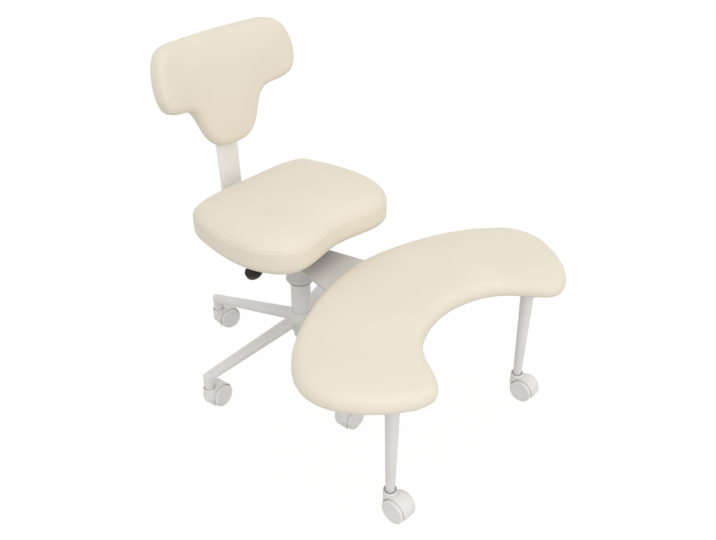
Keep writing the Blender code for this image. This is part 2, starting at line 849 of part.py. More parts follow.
def seat_outline():
    half = [
        (0, SEAT_REAR),
        SEAT_REAR_CORNER,
        SEAT_SIDE_REAR,
        SEAT_SIDE_FRONT,
        SEAT_FRONT_CORNER,
        SEAT_HORN,
        (0, -SEAT_BAY),
    ]
    return smooth_loop(mirrored(half))


def seat_board_mesh():
    outline = inset(seat_outline(), SEAT_WRAP + FIT)
    return slab(outline, SEAT_BOARD_BOTTOM, SEAT_BOARD_BOTTOM + SEAT_BOARD)


def seat_cushion_mesh():
    mesh = cushion(
        seat_outline(),
        SEAT_THICKNESS + SEAT_CROWN,
        SEAT_WRAP,
        SEAT_BOARD - SEAT_BOARD_PROUD + FIT,
        SEAT_BOTTOM_ROUND,
        SEAT_TOP_ROUND,
        SEAT_CROWN,
        SEAT_CROWN_INSET,
    )
    mesh.transform(Matrix.Translation((0, 0, SEAT_BOTTOM)))
    return smoothed(mesh, SOFT_CREASE_ANGLE)


def mechanism_mesh():
    """Pressed tray under the seat board, with the cone that takes the sliding tube."""
    half = MECHANISM_WIDTH / 2
    wall = MECHANISM_WALL
    rim_low = MECHANISM_TOP - wall
    above = MECHANISM_TOP + wall
    tray = block((-half, -MECHANISM_FRONT, MECHANISM_BOTTOM), (half, MECHANISM_REAR, MECHANISM_TOP))
    rim = block(
        (-half - MECHANISM_SIDE_RIM, -MECHANISM_FRONT - MECHANISM_RIM, rim_low),
        (half + MECHANISM_SIDE_RIM, MECHANISM_REAR + MECHANISM_RIM, MECHANISM_TOP),
    )
    inside = block(
        (-half + wall, -MECHANISM_FRONT + wall, MECHANISM_BOTTOM + wall),
        (half - wall, MECHANISM_REAR - wall, above),
    )
    cone = drum(CONE_RADIUS, CONE_BOTTOM, CONE_TOP)
    tube_hole = drum(bore(PISTON_RADIUS), CONE_BOTTOM - FIT, above)
    slot_half = POST_WIDTH / 2 + FIT
    slot = block(
        (-slot_half, MECHANISM_REAR - 2 * wall, POST_BOTTOM - FIT),
        (slot_half, MECHANISM_REAR + wall, POST_TOP + FIT),
    )
    across = Matrix.Translation((0, 0, LEVER_Z)) @ Matrix.Rotation(math.pi / 2, 4, "Y")
    lever_hole = drum(
        bore(LEVER_RADIUS + LEVER_SLACK, SMALL_SIDES),
        -half - wall,
        -half + 2 * wall,
        SMALL_SIDES,
        turn=across,
    )
    return shaped(
        tray,
        ("UNION", rim),
        ("DIFFERENCE", inside),
        ("UNION", cone),
        ("DIFFERENCE", tube_hole),
        ("DIFFERENCE", slot),
        ("DIFFERENCE", lever_hole),
    )


def back_point(along, forward):
    """Side view of the back: (y, z) of a point up the back and forward of its middle."""
    tilt = math.radians(BACK_TILT)
    y = BACK_REACH + along * math.sin(tilt) - forward * math.cos(tilt)
    z = BACK_Z + along * math.cos(tilt) + forward * math.sin(tilt)
    return y, z


def back_outline():
    half = [
        (0, BACK_TOP),
        BACK_CREST,
        BACK_SHOULDER,
        BACK_ELBOW,
        BACK_ARMPIT,
        BACK_WAIST,
        BACK_LOBE,
        (0, -BACK_FOOT),
    ]
    return smooth_loop(mirrored(half))


def leaned(mesh):
    """Wraps a flat piece of the back forward at its sides and leans it back.

    The flat piece has x across, y up the back and z forward, from the rear face.
    """
    shape = bmesh.new()
    shape.from_mesh(mesh)
    reach = BACK_ELBOW[0]
    for k in range(1, BEND_CUTS):
        cut = Vector((reach * (2 * k / BEND_CUTS - 1), 0, 0))
        everything = shape.verts[:] + shape.edges[:] + shape.faces[:]
        bmesh.ops.bisect_plane(shape, geom=everything, dist=0.000001, plane_co=cut, plane_no=(1, 0, 0))
    bmesh.ops.triangulate(shape, faces=[face for face in shape.faces if len(face.verts) > 4])
    for vert in shape.verts:
        across, along, forward = vert.co
        forward += across**2 / (2 * BACK_BEND_RADIUS) - BACK_THICKNESS / 2
        y, z = back_point(along, forward)
        vert.co = (across, y, z)
    return from_bmesh(shape)


def back_board_mesh():
    outline = inset(back_outline(), BACK_WRAP + FIT)
    return leaned(slab(outline, 0, BACK_BOARD))


def back_cushion_mesh():
    mesh = cushion(
        back_outline(),
        BACK_THICKNESS,
        BACK_WRAP,
        BACK_BOARD + FIT,
        BACK_REAR_ROUND,
        BACK_FRONT_ROUND,
        BACK_CROWN,
        BACK_CROWN_INSET,
    )
    return smoothed(leaned(mesh), SOFT_CREASE_ANGLE)


def back_post_mesh():
    """Flat bar from the mechanism, out behind the seat and up to the back board."""
    behind = -BACK_THICKNESS / 2 - FIT - POST_THICKNESS / 2
    level = POST_BOTTOM + POST_THICKNESS / 2
    knee = back_point(-POST_KNEE_BELOW, behind)
    line = filleted(
        [
            (POST_INNER_END, level),
            (POST_BEND_Y, level),
            knee,
            back_point(POST_ABOVE_CENTRE, behind),
        ],
        (POST_BEND_RADIUS, POST_KNEE_RADIUS),
    )
    strip = slab(thickened(line, POST_THICKNESS), -POST_WIDTH / 2, POST_WIDTH / 2)
    strip.transform(Matrix(((0, 0, 1, 0), (1, 0, 0, 0), (0, 1, 0, 0), (0, 0, 0, 1))))
    return smoothed(strip)


def lever_direction():
    droop = math.radians(LEVER_DROOP)
    return Vector((-math.cos(droop), -math.sin(droop)))


def lever_line():
    """The rod's line in side view, (x, z) from the pivot."""
    elbow = Vector((-LEVER_ELBOW - LEVER_PIVOT_X, 0))
    end = elbow + lever_direction() * LEVER_ROD
    return filleted([(LEVER_TIP - LEVER_PIVOT_X, 0), elbow, end], (LEVER_ELBOW_RADIUS,), 4)


def lever_arm_mesh():
    return smoothed(rod([(point.x, 0, point.y) for point in lever_line()], LEVER_RADIUS))


def paddle_mesh():
    """Paddle with a round end; its root, at x = 0, has the hole for the rod."""
    radius = PADDLE_WIDTH / 2
    half = [(0, PADDLE_ROOT_WIDTH / 2)]
    for k in range(ARC_STEPS + 1):
        angle = math.pi / 2 * (1 - k / ARC_STEPS)
        half.append((PADDLE_LENGTH - radius + radius * math.cos(angle), radius * math.sin(angle)))
    outline = half + [(x, -y) for x, y in half[-2::-1]]
    plate = bevelled(slab(outline, -PADDLE_THICKNESS / 2, PADDLE_THICKNESS / 2), PADDLE_THICKNESS / 4)
    turn = Matrix.Rotation(math.pi / 2, 4, "Y")
    hole = drum(bore(LEVER_RADIUS, SMALL_SIDES), -FIT, LEVER_ENGAGE + FIT, SMALL_SIDES, turn=turn)
    return smoothed(shaped(plate, ("DIFFERENCE", hole)))


def add_base(root, finishes, casters):
    leg = base_leg_mesh()
    part("hub", hub_mesh(), finishes["paint"], root)
    part("column_tube", column_mesh(), finishes["paint"], root)
    part("guide_bush", guide_mesh(), finishes["black"], root)
    for number in range(1, LEG_COUNT + 1):
        angle = FIRST_LEG_ANGLE + (number - 1) * 360 / LEG_COUNT
        part(f"base_leg_{number}", leg, finishes["paint"], root, rotation=(0, 0, angle))
        reach = BASE_RADIUS - SOCKET_RADIUS
        turn = math.radians(angle)
        place = (reach * math.cos(turn), reach * math.sin(turn))
        yaw = BASE_CASTER_YAWS[(number - 1) % len(BASE_CASTER_YAWS)]
        add_caster(number, place, yaw, casters, finishes, root)


def add_stool(root, finishes, casters):
    stool = empty("stool_swivel", parent=root)
    part("collar", collar_mesh(), finishes["paint"], stool)
    part("collar_bush", bush_mesh(), finishes["black"], stool)
    part("arm_plate", arm_plate_mesh(), finishes["paint"], stool)
    part("stool_board", stool_board_mesh(), finishes["plywood"], stool)
    part("stool_cushion", stool_cushion_mesh(), finishes["cover"], stool)
    leg = stool_leg_mesh()
    for index, side in enumerate(("right", "left")):
        x = STOOL_LEG_X if side == "left" else -STOOL_LEG_X
        part(f"stool_leg_{side}", leg, finishes["paint"], stool, (x, STOOL_LEG_Y, 0))
        number = LEG_COUNT + 1 + index
        add_caster(number, (x, STOOL_LEG_Y), STOOL_CASTER_YAWS[index], casters, finishes, stool)


def add_seat(root, finishes):
    lift = empty("seat_lift", parent=root)
    part("piston", piston_mesh(), finishes["steel"], lift)
    part("release_pin", release_pin_mesh(), finishes["steel"], lift)
    seat = empty("seat_swivel", parent=lift)
    part("seat_mechanism", mechanism_mesh(), finishes["black"], seat)
    part("seat_board", seat_board_mesh(), finishes["plywood"], seat)
    part("seat_cushion", seat_cushion_mesh(), finishes["cover"], seat)
    part("back_post", back_post_mesh(), finishes["paint"], seat)
    part("back_board", back_board_mesh(), finishes["shell"], seat)
    part("back_cushion", back_cushion_mesh(), finishes["cover"], seat)
    lever = empty("lever_pivot", (LEVER_PIVOT_X, 0, LEVER_Z), parent=seat)
    part("lever_arm", lever_arm_mesh(), finishes["black"], lever)
    end = lever_line()[-1] - lever_direction() * LEVER_ENGAGE
    droop = (0, 180 - LEVER_DROOP, 0)
    part("lever_paddle", paddle_mesh(), finishes["black"], lever, (end.x, 0, end.y), droop)


def centre_on_floor(root):
    """Moves the chair so that the origin lies under the middle of its whole length."""
    bpy.context.view_layer.update()
    reach = []
    for item in bpy.data.collections[PARTS].objects:
        if item.type == "MESH":
            reach += [(item.matrix_world @ vert.co).y for vert in item.data.vertices]
    root.location.y = -(min(reach) + max(reach)) / 2


def main():
    clear_scene()
    finishes = {
        "paint": material("warm_grey_paint", (0.74, 0.73, 0.70), 0.45),
        "caster": material("warm_grey_plastic", (0.72, 0.71, 0.68), 0.5),
        "cover": material("cream_cover", (0.80, 0.73, 0.61), 0.65),
        "steel": material("steel", (0.60, 0.60, 0.60), 0.3, 1.0),
        "plywood": material("plywood", (0.62, 0.45, 0.28), 0.7),
        "shell": material("pale_shell", (0.74, 0.71, 0.64), 0.55),
        "black": material("black_plastic", (0.03, 0.025, 0.02), 0.5),
    }
    root = empty("chair")
    casters = caster_meshes()
    add_base(root, finishes, casters)
    add_stool(root, finishes, casters)
    add_seat(root, finishes)
    centre_on_floor(root)


main()
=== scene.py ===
"""Looks of a cross-legged office chair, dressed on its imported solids.

Everything is in metres in the solids' own frame: the floor is z = 0 and the chair faces -Y.
"""
import json
import math

import bmesh
import bpy
import numpy as np
from mathutils import Matrix, Vector
from mathutils.geometry import delaunay_2d_cdt


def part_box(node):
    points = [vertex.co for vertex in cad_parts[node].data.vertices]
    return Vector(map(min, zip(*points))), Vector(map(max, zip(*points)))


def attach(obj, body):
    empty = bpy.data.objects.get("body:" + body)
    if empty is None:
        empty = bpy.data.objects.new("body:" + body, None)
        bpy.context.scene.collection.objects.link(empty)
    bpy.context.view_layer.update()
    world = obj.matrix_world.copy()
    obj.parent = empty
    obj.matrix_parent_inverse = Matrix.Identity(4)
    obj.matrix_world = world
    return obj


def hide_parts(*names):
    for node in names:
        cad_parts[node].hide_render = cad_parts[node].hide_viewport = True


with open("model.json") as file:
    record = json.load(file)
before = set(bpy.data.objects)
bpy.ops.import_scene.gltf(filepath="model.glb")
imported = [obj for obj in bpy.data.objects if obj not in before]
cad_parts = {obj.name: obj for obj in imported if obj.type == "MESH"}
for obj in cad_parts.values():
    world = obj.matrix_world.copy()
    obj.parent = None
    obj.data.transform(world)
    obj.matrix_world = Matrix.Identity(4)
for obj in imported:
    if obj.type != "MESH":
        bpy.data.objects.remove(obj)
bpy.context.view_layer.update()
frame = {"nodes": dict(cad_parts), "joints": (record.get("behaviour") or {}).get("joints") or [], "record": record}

# Camera
CAMERA_AZIMUTH = -49.44
CAMERA_ELEVATION = 32.47
CAMERA_DISTANCE = 2.1228
CAMERA_LENS = 42.275
CAMERA_SENSOR = 36.0
AIM_HEIGHT = 0.2935
AIM_RIGHT = 0.14684
AIM_DOWN = 0.00465

# Light and stage
WORLD_STRENGTH = 0.89
KEY_POWER = 13.0
KEY_SIZE = 2.2
KEY_PLACE = (-1.9, -1.6, 2.6)
FILL_POWER = 13.0
FILL_SIZE = 2.6
FILL_PLACE = (-0.7, -2.7, 1.5)
FLOOR_SIZE = 8.0
FLOOR_COLOUR = (0.62, 0.62, 0.62)
FLOOR_WHITE = 0.90
FLOOR_GLOW = 1.05
FLOOR_ROUGHNESS = 0.9
FLOOR_SHINE = 0.1

# Colours, linear
CREAM_DARK = (0.790, 0.718, 0.594)
CREAM_LIGHT = (0.815, 0.744, 0.619)
PAINT_DARK = (0.729, 0.719, 0.689)
PAINT_LIGHT = (0.780, 0.770, 0.743)
# Painted light: a lighter copy of the warm grey paint for the back post, lifting a part that the lamps leave
# darker than the other painted parts
POST_LIT_PAINT_DARK = (0.835, 0.822, 0.790)
POST_LIT_PAINT_LIGHT = (0.870, 0.858, 0.828)
# Painted light and shade on the arm casting: a greyer tone for its sides and underside, a paler one for its upward
# faces
ARM_SHADED_SIDE = (0.630, 0.622, 0.597)
ARM_LIT_TOP = (0.885, 0.875, 0.840)
CASTER_DARK = (0.768, 0.761, 0.731)
CASTER_LIGHT = (0.818, 0.811, 0.784)
SHELL_DARK = (0.690, 0.655, 0.585)
SHELL_LIGHT = (0.735, 0.700, 0.630)
BLACK_DARK = (0.012, 0.011, 0.010)
BLACK_LIGHT = (0.026, 0.023, 0.020)
STEEL_DARK = (0.44, 0.44, 0.45)
STEEL_LIGHT = (0.62, 0.62, 0.62)
WOOD_DARK = (0.55, 0.40, 0.25)
WOOD_LIGHT = (0.76, 0.62, 0.43)

# Sockets of a Mix node that carry colours
MIX_LOW = 6
MIX_HIGH = 7
MIX_RESULT = 2

# Plywood
PLY_SCALE = 105.0
PLY_WAVER = 0.6
PLY_SHARE = 0.25

# Cushions; steps are the distances between a mesh's points
OUTLINE_STEP = 0.005
SECTION_STEP = 0.004
TOP_STEP = 0.008
UNDER_STEP = 0.030
FAIRING = 0.011
CROWN_REACH = 0.070
BOTTOM_ARC_POINTS = 16
SHOULDER_ARC_POINTS = 24
SHOULDER_SHARE = 0.94
SEAM_LINES = (-0.0034, 0.0034)
SEAM_WIDTH = 0.0022
SEAM_REACH = 0.0075
SEAM_ROWS = 13
NET_MARGIN = 0.55
INSIDE_ONLY = 1
BACK_TILT = 10.5
BACK_BEND_RADIUS = 0.543

# Roundness and edges; a fillet takes at most 1 / FILLET_ROOM of a side
FINE_SIDES = 72
HOUSING_SIDES = 56
LEG_TUBE_SIDES = 64
COLLAR_SIDES = 80
SMALL_SIDES = 32
AXLE_SIDES = 24
FILLET_ROOM = 2.05
FLAT_ANGLE = 1
EASED_ANGLE = 40
EASED_SEGMENTS = 3
THROUGH = 0.01

# Hard pieces
TUBE_WALL = 0.0025
COLUMN_STEP = 0.003
COLUMN_FOOT_HOLE = 0.006
COLUMN_FLOOR = 0.004
HUB_LIP = 0.006
HUB_RIM_WALL = 0.003
HUB_FOOT_WALL = 0.002
HUB_SHOULDER = 0.001
LEG_START = 0.029
LEG_RINGS = 20
LEG_SIDES = 48
LEG_SQUARENESS = 0.92
LEG_END_STEPS = 8
LEG_HUB_SIZE = (0.0365, 0.032)
LEG_TIP_SIZE = (0.026, 0.023)
LEG_END_HEIGHT = 0.0424
SOCKET_RADIUS = 0.0125
STEM_GAP = 0.0003
STEM_HOLE = 0.0058
STEM_IN_HOUSING = 0.020
CASTING_GRAIN = 0.0016
CASTING_SMOOTHING = 5
AXLE_HOLE = 0.0033
HOOD_RISE = 0.0035
HOOD_WALL = 0.0023
HOOD_WIDTH = 0.035
HOOD_SKIRT = 0.008
HOOD_FRONT_SKIRT = 0.0185
WEB_WIDTH = 0.0136
WEB_START = 0.004
BEARING_RADIUS = 0.011
CUP_RADIUS = 0.0156
CUP_WALL = 0.0018
CUP_DEPTH = 0.006
BOSS_DEPTH = 0.028
TREAD_EDGE = 0.0012
TREAD_SHOULDER = 0.0030
AXLE_END_DEPTH = 0.0024
RIM_LINE_INSET = 0.0055
RIM_LINE_DEPTH = 0.0009
STOOL_LEG_TOP = 0.0165
STOOL_LEG_FOOT = 0.0103
STOOL_LEG_FLARE = (0.002, 0.004)
FLANGE_HEIGHT = 0.004
FLANGE_SCREWS = 0.0222
BUSH_WALL = 0.003
COLLAR_EDGE = 0.004
COLLAR_WAIST = 0.0055
COLLAR_SKIRT = 0.024
COLLAR_FLARE = 0.012
COLLAR_FLARE_DEPTH = 0.022
ARM_EDGE = 0.0012
ARM_FAIRING = 0.004
BOARD_EDGE = 0.0008
BOARD_STEP = 0.020

# The centre of a wheel's outer face: rows of (radius, depth)
WHEEL_CENTRE = (
    (0.0150, 0.0009),
    (0.0070, 0.0012),
    (0.0066, 0.0018),
    (0.0060, 0.0018),
    (0.0055, 0.0009),
    (0, 0.0006),
)

# Screws; the outline and the socket are in shares of the head's radius
SCREW_RADIUS = 0.0052
SMALL_SCREW_RADIUS = 0.0032
SCREW_OUTLINE = ((0, -0.4), (1, -0.4), (1, 0.08), (0.84, 0.40), (0.50, 0.56), (0, 0.60))
SCREW_FILLET = 0.1
SCREW_SOCKET_SIZE = 0.42
SCREW_SOCKET_FLOOR = 0.10
MECHANISM_SHEET = 0.003
MECHANISM_SCREW_INSET = (0.015, 0.030)
PLATE_SCREWS = ((0.115, 0.035), (0.070, 0.125))
POST_SCREW_X = 0.018
POST_SCREW_DROPS = (0.015, 0.060)
POST_TOP_BAND = 0.005

# Simulation; the cover's moves are evened out EVENING times
FIRST_FRAME = 1
LAST_FRAME = 20
EVENING = 40
SEWN_HOLD = 0.9

# Closeness and directions
SAME_PLACE = 0.00003
SAME_ANGLE = 0.0001
TINY = 0.000001
UP = Vector((0, 0, 1))
DOWN = Vector((0, 0, -1))


def joint_place(name):
    """Where a joint of the frame stands."""
    found = [joint for joint in frame["joints"] if joint["name"] == name]
    return Vector(found[0]["pos_m"])


COLUMN = joint_place("stool_swivel").xy


# Materials

def new_material(name, roughness, metallic=0.0):
    finish = bpy.data.materials.new(name)
    finish.use_nodes = True
    shader = finish.node_tree.nodes["Principled BSDF"]
    shader.inputs["Roughness"].default_value = roughness
    shader.inputs["Metallic"].default_value = metallic
    return finish, finish.node_tree, shader


def place_nodes(tree, stretch=(1, 1, 1)):
    """Texture coordinates in metres in the piece's own frame."""
    coordinates = tree.nodes.new("ShaderNodeTexCoord")
    mapping = tree.nodes.new("ShaderNodeMapping")
    mapping.inputs["Scale"].default_value = stretch
    tree.links.new(coordinates.outputs["Object"], mapping.inputs["Vector"])
    return mapping.outputs["Vector"]


def noise(tree, place, scale, detail=3.0):
    texture = tree.nodes.new("ShaderNodeTexNoise")
    texture.inputs["Scale"].default_value = scale
    texture.inputs["Detail"].default_value = detail
    tree.links.new(place, texture.inputs["Vector"])
    return texture.outputs["Fac"]


def cells(tree, place, scale):
    texture = tree.nodes.new("ShaderNodeTexVoronoi")
    texture.feature = "SMOOTH_F1"
    texture.inputs["Scale"].default_value = scale
    tree.links.new(place, texture.inputs["Vector"])
    return texture.outputs["Distance"]


def ramp(tree, value, low, high, start=0.3, end=0.7):
    """Colours or numbers between low and high as a value goes from start to end."""
    band = tree.nodes.new("ShaderNodeMapRange")
    band.inputs["From Min"].default_value = start
    band.inputs["From Max"].default_value = end
    tree.links.new(value, band.inputs["Value"])
    if isinstance(low, tuple):
        mix = tree.nodes.new("ShaderNodeMix")
        mix.data_type = "RGBA"
        tree.links.new(band.outputs["Result"], mix.inputs["Factor"])
        mix.inputs[MIX_LOW].default_value = (*low, 1)
        mix.inputs[MIX_HIGH].default_value = (*high, 1)
        return mix.outputs[MIX_RESULT]
    band.inputs["To Min"].default_value = low
    band.inputs["To Max"].default_value = high
    return band.outputs["Result"]


def bump(tree, shader, height, strength, distance):
    relief = tree.nodes.new("ShaderNodeBump")
    relief.inputs["Strength"].default_value = strength
    relief.inputs["Distance"].default_value = distance
    tree.links.new(height, relief.inputs["Height"])
    earlier = shader.inputs["Normal"].links
    if earlier:
        tree.links.new(earlier[0].from_socket, relief.inputs["Normal"])
    tree.links.new(relief.outputs["Normal"], shader.inputs["Normal"])


def cover_material():
    """Smooth coated cloth: a fine pebbled grain over soft foam, a little uneven in tone."""
    finish, tree, shader = new_material("cream_cover", roughness=0.58)
    place = place_nodes(tree)
    tone = ramp(tree, noise(tree, place, scale=7.0, detail=4.0), CREAM_DARK, CREAM_LIGHT)
    tree.links.new(tone, shader.inputs["Base Color"])
    shine = ramp(tree, noise(tree, place, scale=60.0), low=0.52, high=0.66)
    tree.links.new(shine, shader.inputs["Roughness"])
    shader.inputs["Specular IOR Level"].default_value = 0.35
    shader.inputs["Sheen Weight"].default_value = 0.12
    shader.inputs["Sheen Roughness"].default_value = 0.5
    bump(tree, shader, cells(tree, place, scale=850.0), strength=0.16, distance=0.0004)
    waves = noise(tree, place, scale=45.0, detail=2.0)
    bump(tree, shader, waves, strength=0.05, distance=0.0016)
    return finish


def paint_material(name, dark, light, roughness=0.42, grain=0.10):
    """Powder coat or moulded plastic: even colour over a fine orange-peel surface."""
    finish, tree, shader = new_material(name, roughness)
    place = place_nodes(tree)
    tone = ramp(tree, noise(tree, place, scale=12.0), dark, light)
    tree.links.new(tone, shader.inputs["Base Color"])
    gloss = noise(tree, place, scale=90.0)
    shine = ramp(tree, gloss, low=roughness - 0.05, high=roughness + 0.06)
    tree.links.new(shine, shader.inputs["Roughness"])
    peel = noise(tree, place, scale=1100.0, detail=2.0)
    bump(tree, shader, peel, strength=grain, distance=0.0003)
    return finish


def arm_light_and_shade_material():
    """Warm grey paint with painted light and shade: pale on faces that point up, greyer on the sides and below, by
    the direction each face points.
    """
    finish = paint_material("arm_lit_and_shaded", PAINT_DARK, PAINT_LIGHT)
    tree = finish.node_tree
    coordinates = tree.nodes.new("ShaderNodeTexCoord")
    upward = tree.nodes.new("ShaderNodeSeparateXYZ")
    tree.links.new(coordinates.outputs["Normal"], upward.inputs["Vector"])
    tone = ramp(tree, upward.outputs["Z"], ARM_SHADED_SIDE, ARM_LIT_TOP, start=0.75, end=0.97)
    tree.links.new(tone, tree.nodes["Principled BSDF"].inputs["Base Color"])
    return finish


def steel_material():
    """Ground steel: streaks round the bar, dark to light."""
    finish, tree, shader = new_material("ground_steel", roughness=0.32, metallic=1.0)
    place = place_nodes(tree, stretch=(60, 60, 1500))
    streaks = noise(tree, place, scale=1.0, detail=4.0)
    tree.links.new(ramp(tree, streaks, STEEL_DARK, STEEL_LIGHT), shader.inputs["Base Color"])
    tree.links.new(ramp(tree, streaks, low=0.25, high=0.42), shader.inputs["Roughness"])
    bump(tree, shader, streaks, strength=0.05, distance=0.0002)
    return finish


def plywood_material():
    """Birch plywood: long grain on the faces and thin layers on the edges."""
    finish, tree, shader = new_material("plywood", roughness=0.62)
    grain = noise(tree, place_nodes(tree, stretch=(9, 160, 700)), scale=1.0, detail=5.0)
    layers = tree.nodes.new("ShaderNodeTexWave")
    layers.bands_direction = "Z"
    layers.inputs["Scale"].default_value = PLY_SCALE
    layers.inputs["Distortion"].default_value = PLY_WAVER
    tree.links.new(place_nodes(tree), layers.inputs["Vector"])
    blend = tree.nodes.new("ShaderNodeMath")
    blend.operation = "MULTIPLY_ADD"
    blend.inputs[1].default_value = PLY_SHARE
    tree.links.new(layers.outputs["Fac"], blend.inputs[0])
    tree.links.new(grain, blend.inputs[2])
    colour = ramp(tree, blend.outputs[0], WOOD_DARK, WOOD_LIGHT, start=0.35, end=0.8)
    tree.links.new(colour, shader.inputs["Base Color"])
    bump(tree, shader, grain, strength=0.15, distance=0.0003)
    return finish


CASTER_GREY = (CASTER_DARK, CASTER_LIGHT)
SHELL = (SHELL_DARK, SHELL_LIGHT)
BLACK = (BLACK_DARK, BLACK_LIGHT)
FINISHES = {
    "cover": cover_material(),
    "paint": paint_material("warm_grey_paint", PAINT_DARK, PAINT_LIGHT),
    # A lighter copy of the warm grey paint for the back post: painted light
    "post_lit_paint": paint_material("post_lit_paint", POST_LIT_PAINT_DARK, POST_LIT_PAINT_LIGHT),
    "arm_lit_and_shaded": arm_light_and_shade_material(),
    "caster_plastic": paint_material("warm_grey_plastic", *CASTER_GREY, roughness=0.48, grain=0.14),
    "back_shell": paint_material("pale_shell", *SHELL, roughness=0.55, grain=0.22),
    "black_plastic": paint_material("black_plastic", *BLACK, roughness=0.46, grain=0.16),
    "black_paint": paint_material("black_paint", *BLACK, roughness=0.40, grain=0.10),
    "steel": steel_material(),
    "plywood": plywood_material(),
}


# Meshes

def to_mesh(shape, name):
    """A new mesh of a shape, its faces turned outwards."""
    bmesh.ops.recalc_face_normals(shape, faces=shape.faces)
    mesh = bpy.data.meshes.new(name)
    shape.to_mesh(mesh)
    shape.free()
    return mesh


def add_piece(name, mesh, slot, body, replaced=(), matrix=None, crease=35, finish=None):
    """A piece of the chair in its finish, riding on a body and standing for CAD nodes."""
    piece = bpy.data.objects.new(name, mesh)
    bpy.context.scene.collection.objects.link(piece)
    if not mesh.materials:
        mesh.materials.append(FINISHES[finish or slot])
        mesh.shade_smooth()
        mesh.set_sharp_from_angle(angle=math.radians(crease))
    if matrix:
        piece.matrix_world = matrix
    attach(piece, body)
    if replaced:
        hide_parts(*replaced)
    return piece


def applied(mesh, *changes):
    """The mesh after modifiers, each a type and its settings."""
    item = bpy.data.objects.new("blank", mesh)
    bpy.context.scene.collection.objects.link(item)
    for kind, settings in changes:
        modifier = item.modifiers.new(kind, kind)
        for key, value in settings.items():
            setattr(modifier, key, value)
    bpy.context.view_layer.update()
    graph = bpy.context.evaluated_depsgraph_get()
    result = bpy.data.meshes.new_from_object(item.evaluated_get(graph))
    bpy.data.objects.remove(item)
    return result


def boolean(mesh, operation, tool_mesh):
    """The mesh after one exact boolean with another."""
    tool = bpy.data.objects.new("tool", tool_mesh)
    bpy.context.scene.collection.objects.link(tool)
    result = applied(mesh, ("BOOLEAN", {"operation": operation, "object": tool, "solver": "EXACT"}))
    bpy.data.objects.remove(tool)
    return result


def joined(meshes, name):
    """One mesh of several, its faces turned outwards."""
    shape = bmesh.new()
    for mesh in meshes:
        shape.from_mesh(mesh)
    return to_mesh(shape, name)


def welded(node):
    """A CAD node's solid with its split corners joined."""
    shape = bmesh.new()
    shape.from_mesh(frame["nodes"][node].data)
    bmesh.ops.remove_doubles(shape, verts=shape.verts, dist=SAME_PLACE)
    return shape


def eased(node, width):
    """A copy of a CAD node's solid with its sharp edges rounded."""
    shape = welded(node)
    flat = math.radians(FLAT_ANGLE)
    bmesh.ops.dissolve_limit(shape, angle_limit=flat, verts=shape.verts, edges=shape.edges)
    settings = {
        "width": width,
        "segments": EASED_SEGMENTS,
        "limit_method": "ANGLE",
        "angle_limit": math.radians(EASED_ANGLE),
    }
    return applied(to_mesh(shape, node), ("BEVEL", settings))


def filleted(profile, radius, steps=4, closed=False):
    """A profile in a plane with each corner rounded, as far as its sides allow."""
    points = [Vector(point) for point in profile]
    count = len(points)
    line = []
    for i, corner in enumerate(points):
        if not closed and i in (0, count - 1):
            line.append(corner)
            continue
        before = points[i - 1] - corner
        after = points[(i + 1) % count] - corner
        half = before.angle(after) / 2
        room = min(before.length, after.length) / FILLET_ROOM
        cut = min(radius / math.tan(half), room)
        start = corner + before.normalized() * cut
        end = corner + after.normalized() * cut
        for k in range(steps + 1):
            t = k / steps
            line.append(start * (1 - t) ** 2 + corner * 2 * t * (1 - t) + end * t**2)
    return [tuple(point) for point in line]


def swept(profile, sides, closed=False, start=0.0, turn=2 * math.pi):
    """A profile of (radius, height) swept about Z; a part turn gets flat ends."""
    whole = turn >= 2 * math.pi - SAME_ANGLE
    shape = bmesh.new()
    rings = []
    for k in range(sides if whole else sides + 1):
        angle = start + turn * k / sides
        ring = []
        for radius, height in profile:
            if radius < SAME_PLACE and rings:
                ring.append(rings[0][len(ring)])
            else:
                corner = (radius * math.cos(angle), radius * math.sin(angle), height)
                ring.append(shape.verts.new(corner))
        rings.append(ring)
    pairs = list(zip(rings, rings[1:] + rings[:1] if whole else rings[1:]))
    count = len(profile)
    for low, high in pairs:
        for i in range(count if closed else count - 1):
            j = (i + 1) % count
            corners = [low[i], low[j], high[j], high[i]]
            corners = [vert for k, vert in enumerate(corners) if vert not in corners[:k]]
            if len(corners) > 2:
                shape.faces.new(corners)
    if not whole:
        shape.faces.new(rings[0])
        shape.faces.new(rings[-1])
    return to_mesh(shape, "swept")


def join_rings(shape, rings):
    """Bands of faces from each ring of corners to the next."""
    count = len(rings[0])
    for low, high in zip(rings, rings[1:]):
        for i in range(count):
            j = (i + 1) % count
            shape.faces.new((low[i], low[j], high[j], high[i]))


def fill(shape, verts, faces):
    """Faces over corners, from rows of the corners' numbers."""
    for face in faces:
        shape.faces.new([verts[corner] for corner in face])


def bar(radius, low, high, sides=48):
    """A closed round bar along Z."""
    return swept([(0, low), (radius, low), (radius, high), (0, high)], sides)


# Outlines and cushions

def ring_at(shape, flat, level):
    """The outer loop of a solid's corners at one level, in order, as rows of two numbers."""
    places = {vert: flat(vert.co) for vert in shape.verts}
    on_level = {vert for vert, place in places.items() if abs(place.z - level) < SAME_PLACE}

    def on_rim(edge):
        corners = {vert for face in edge.link_faces for vert in face.verts}
        return on_level.issuperset(edge.verts) and not on_level.issuperset(corners)

    loop = [max(on_level, key=lambda vert: (round(places[vert].x, 4), places[vert].y))]
    while True:
        ahead = [edge.other_vert(loop[-1]) for edge in loop[-1].link_edges if on_rim(edge)]
        ahead = [vert for vert in ahead if vert not in loop]
        if not ahead:
            break
        loop.append(ahead[0])
    return np.array([places[vert].xy for vert in loop])


def widest_level(shape, flat):
    """The level at which a solid's outline reaches furthest across."""
    places = [flat(vert.co) for vert in shape.verts]
    reach = max(place.x for place in places)
    return min(place.z for place in places if place.x > reach - SAME_PLACE)


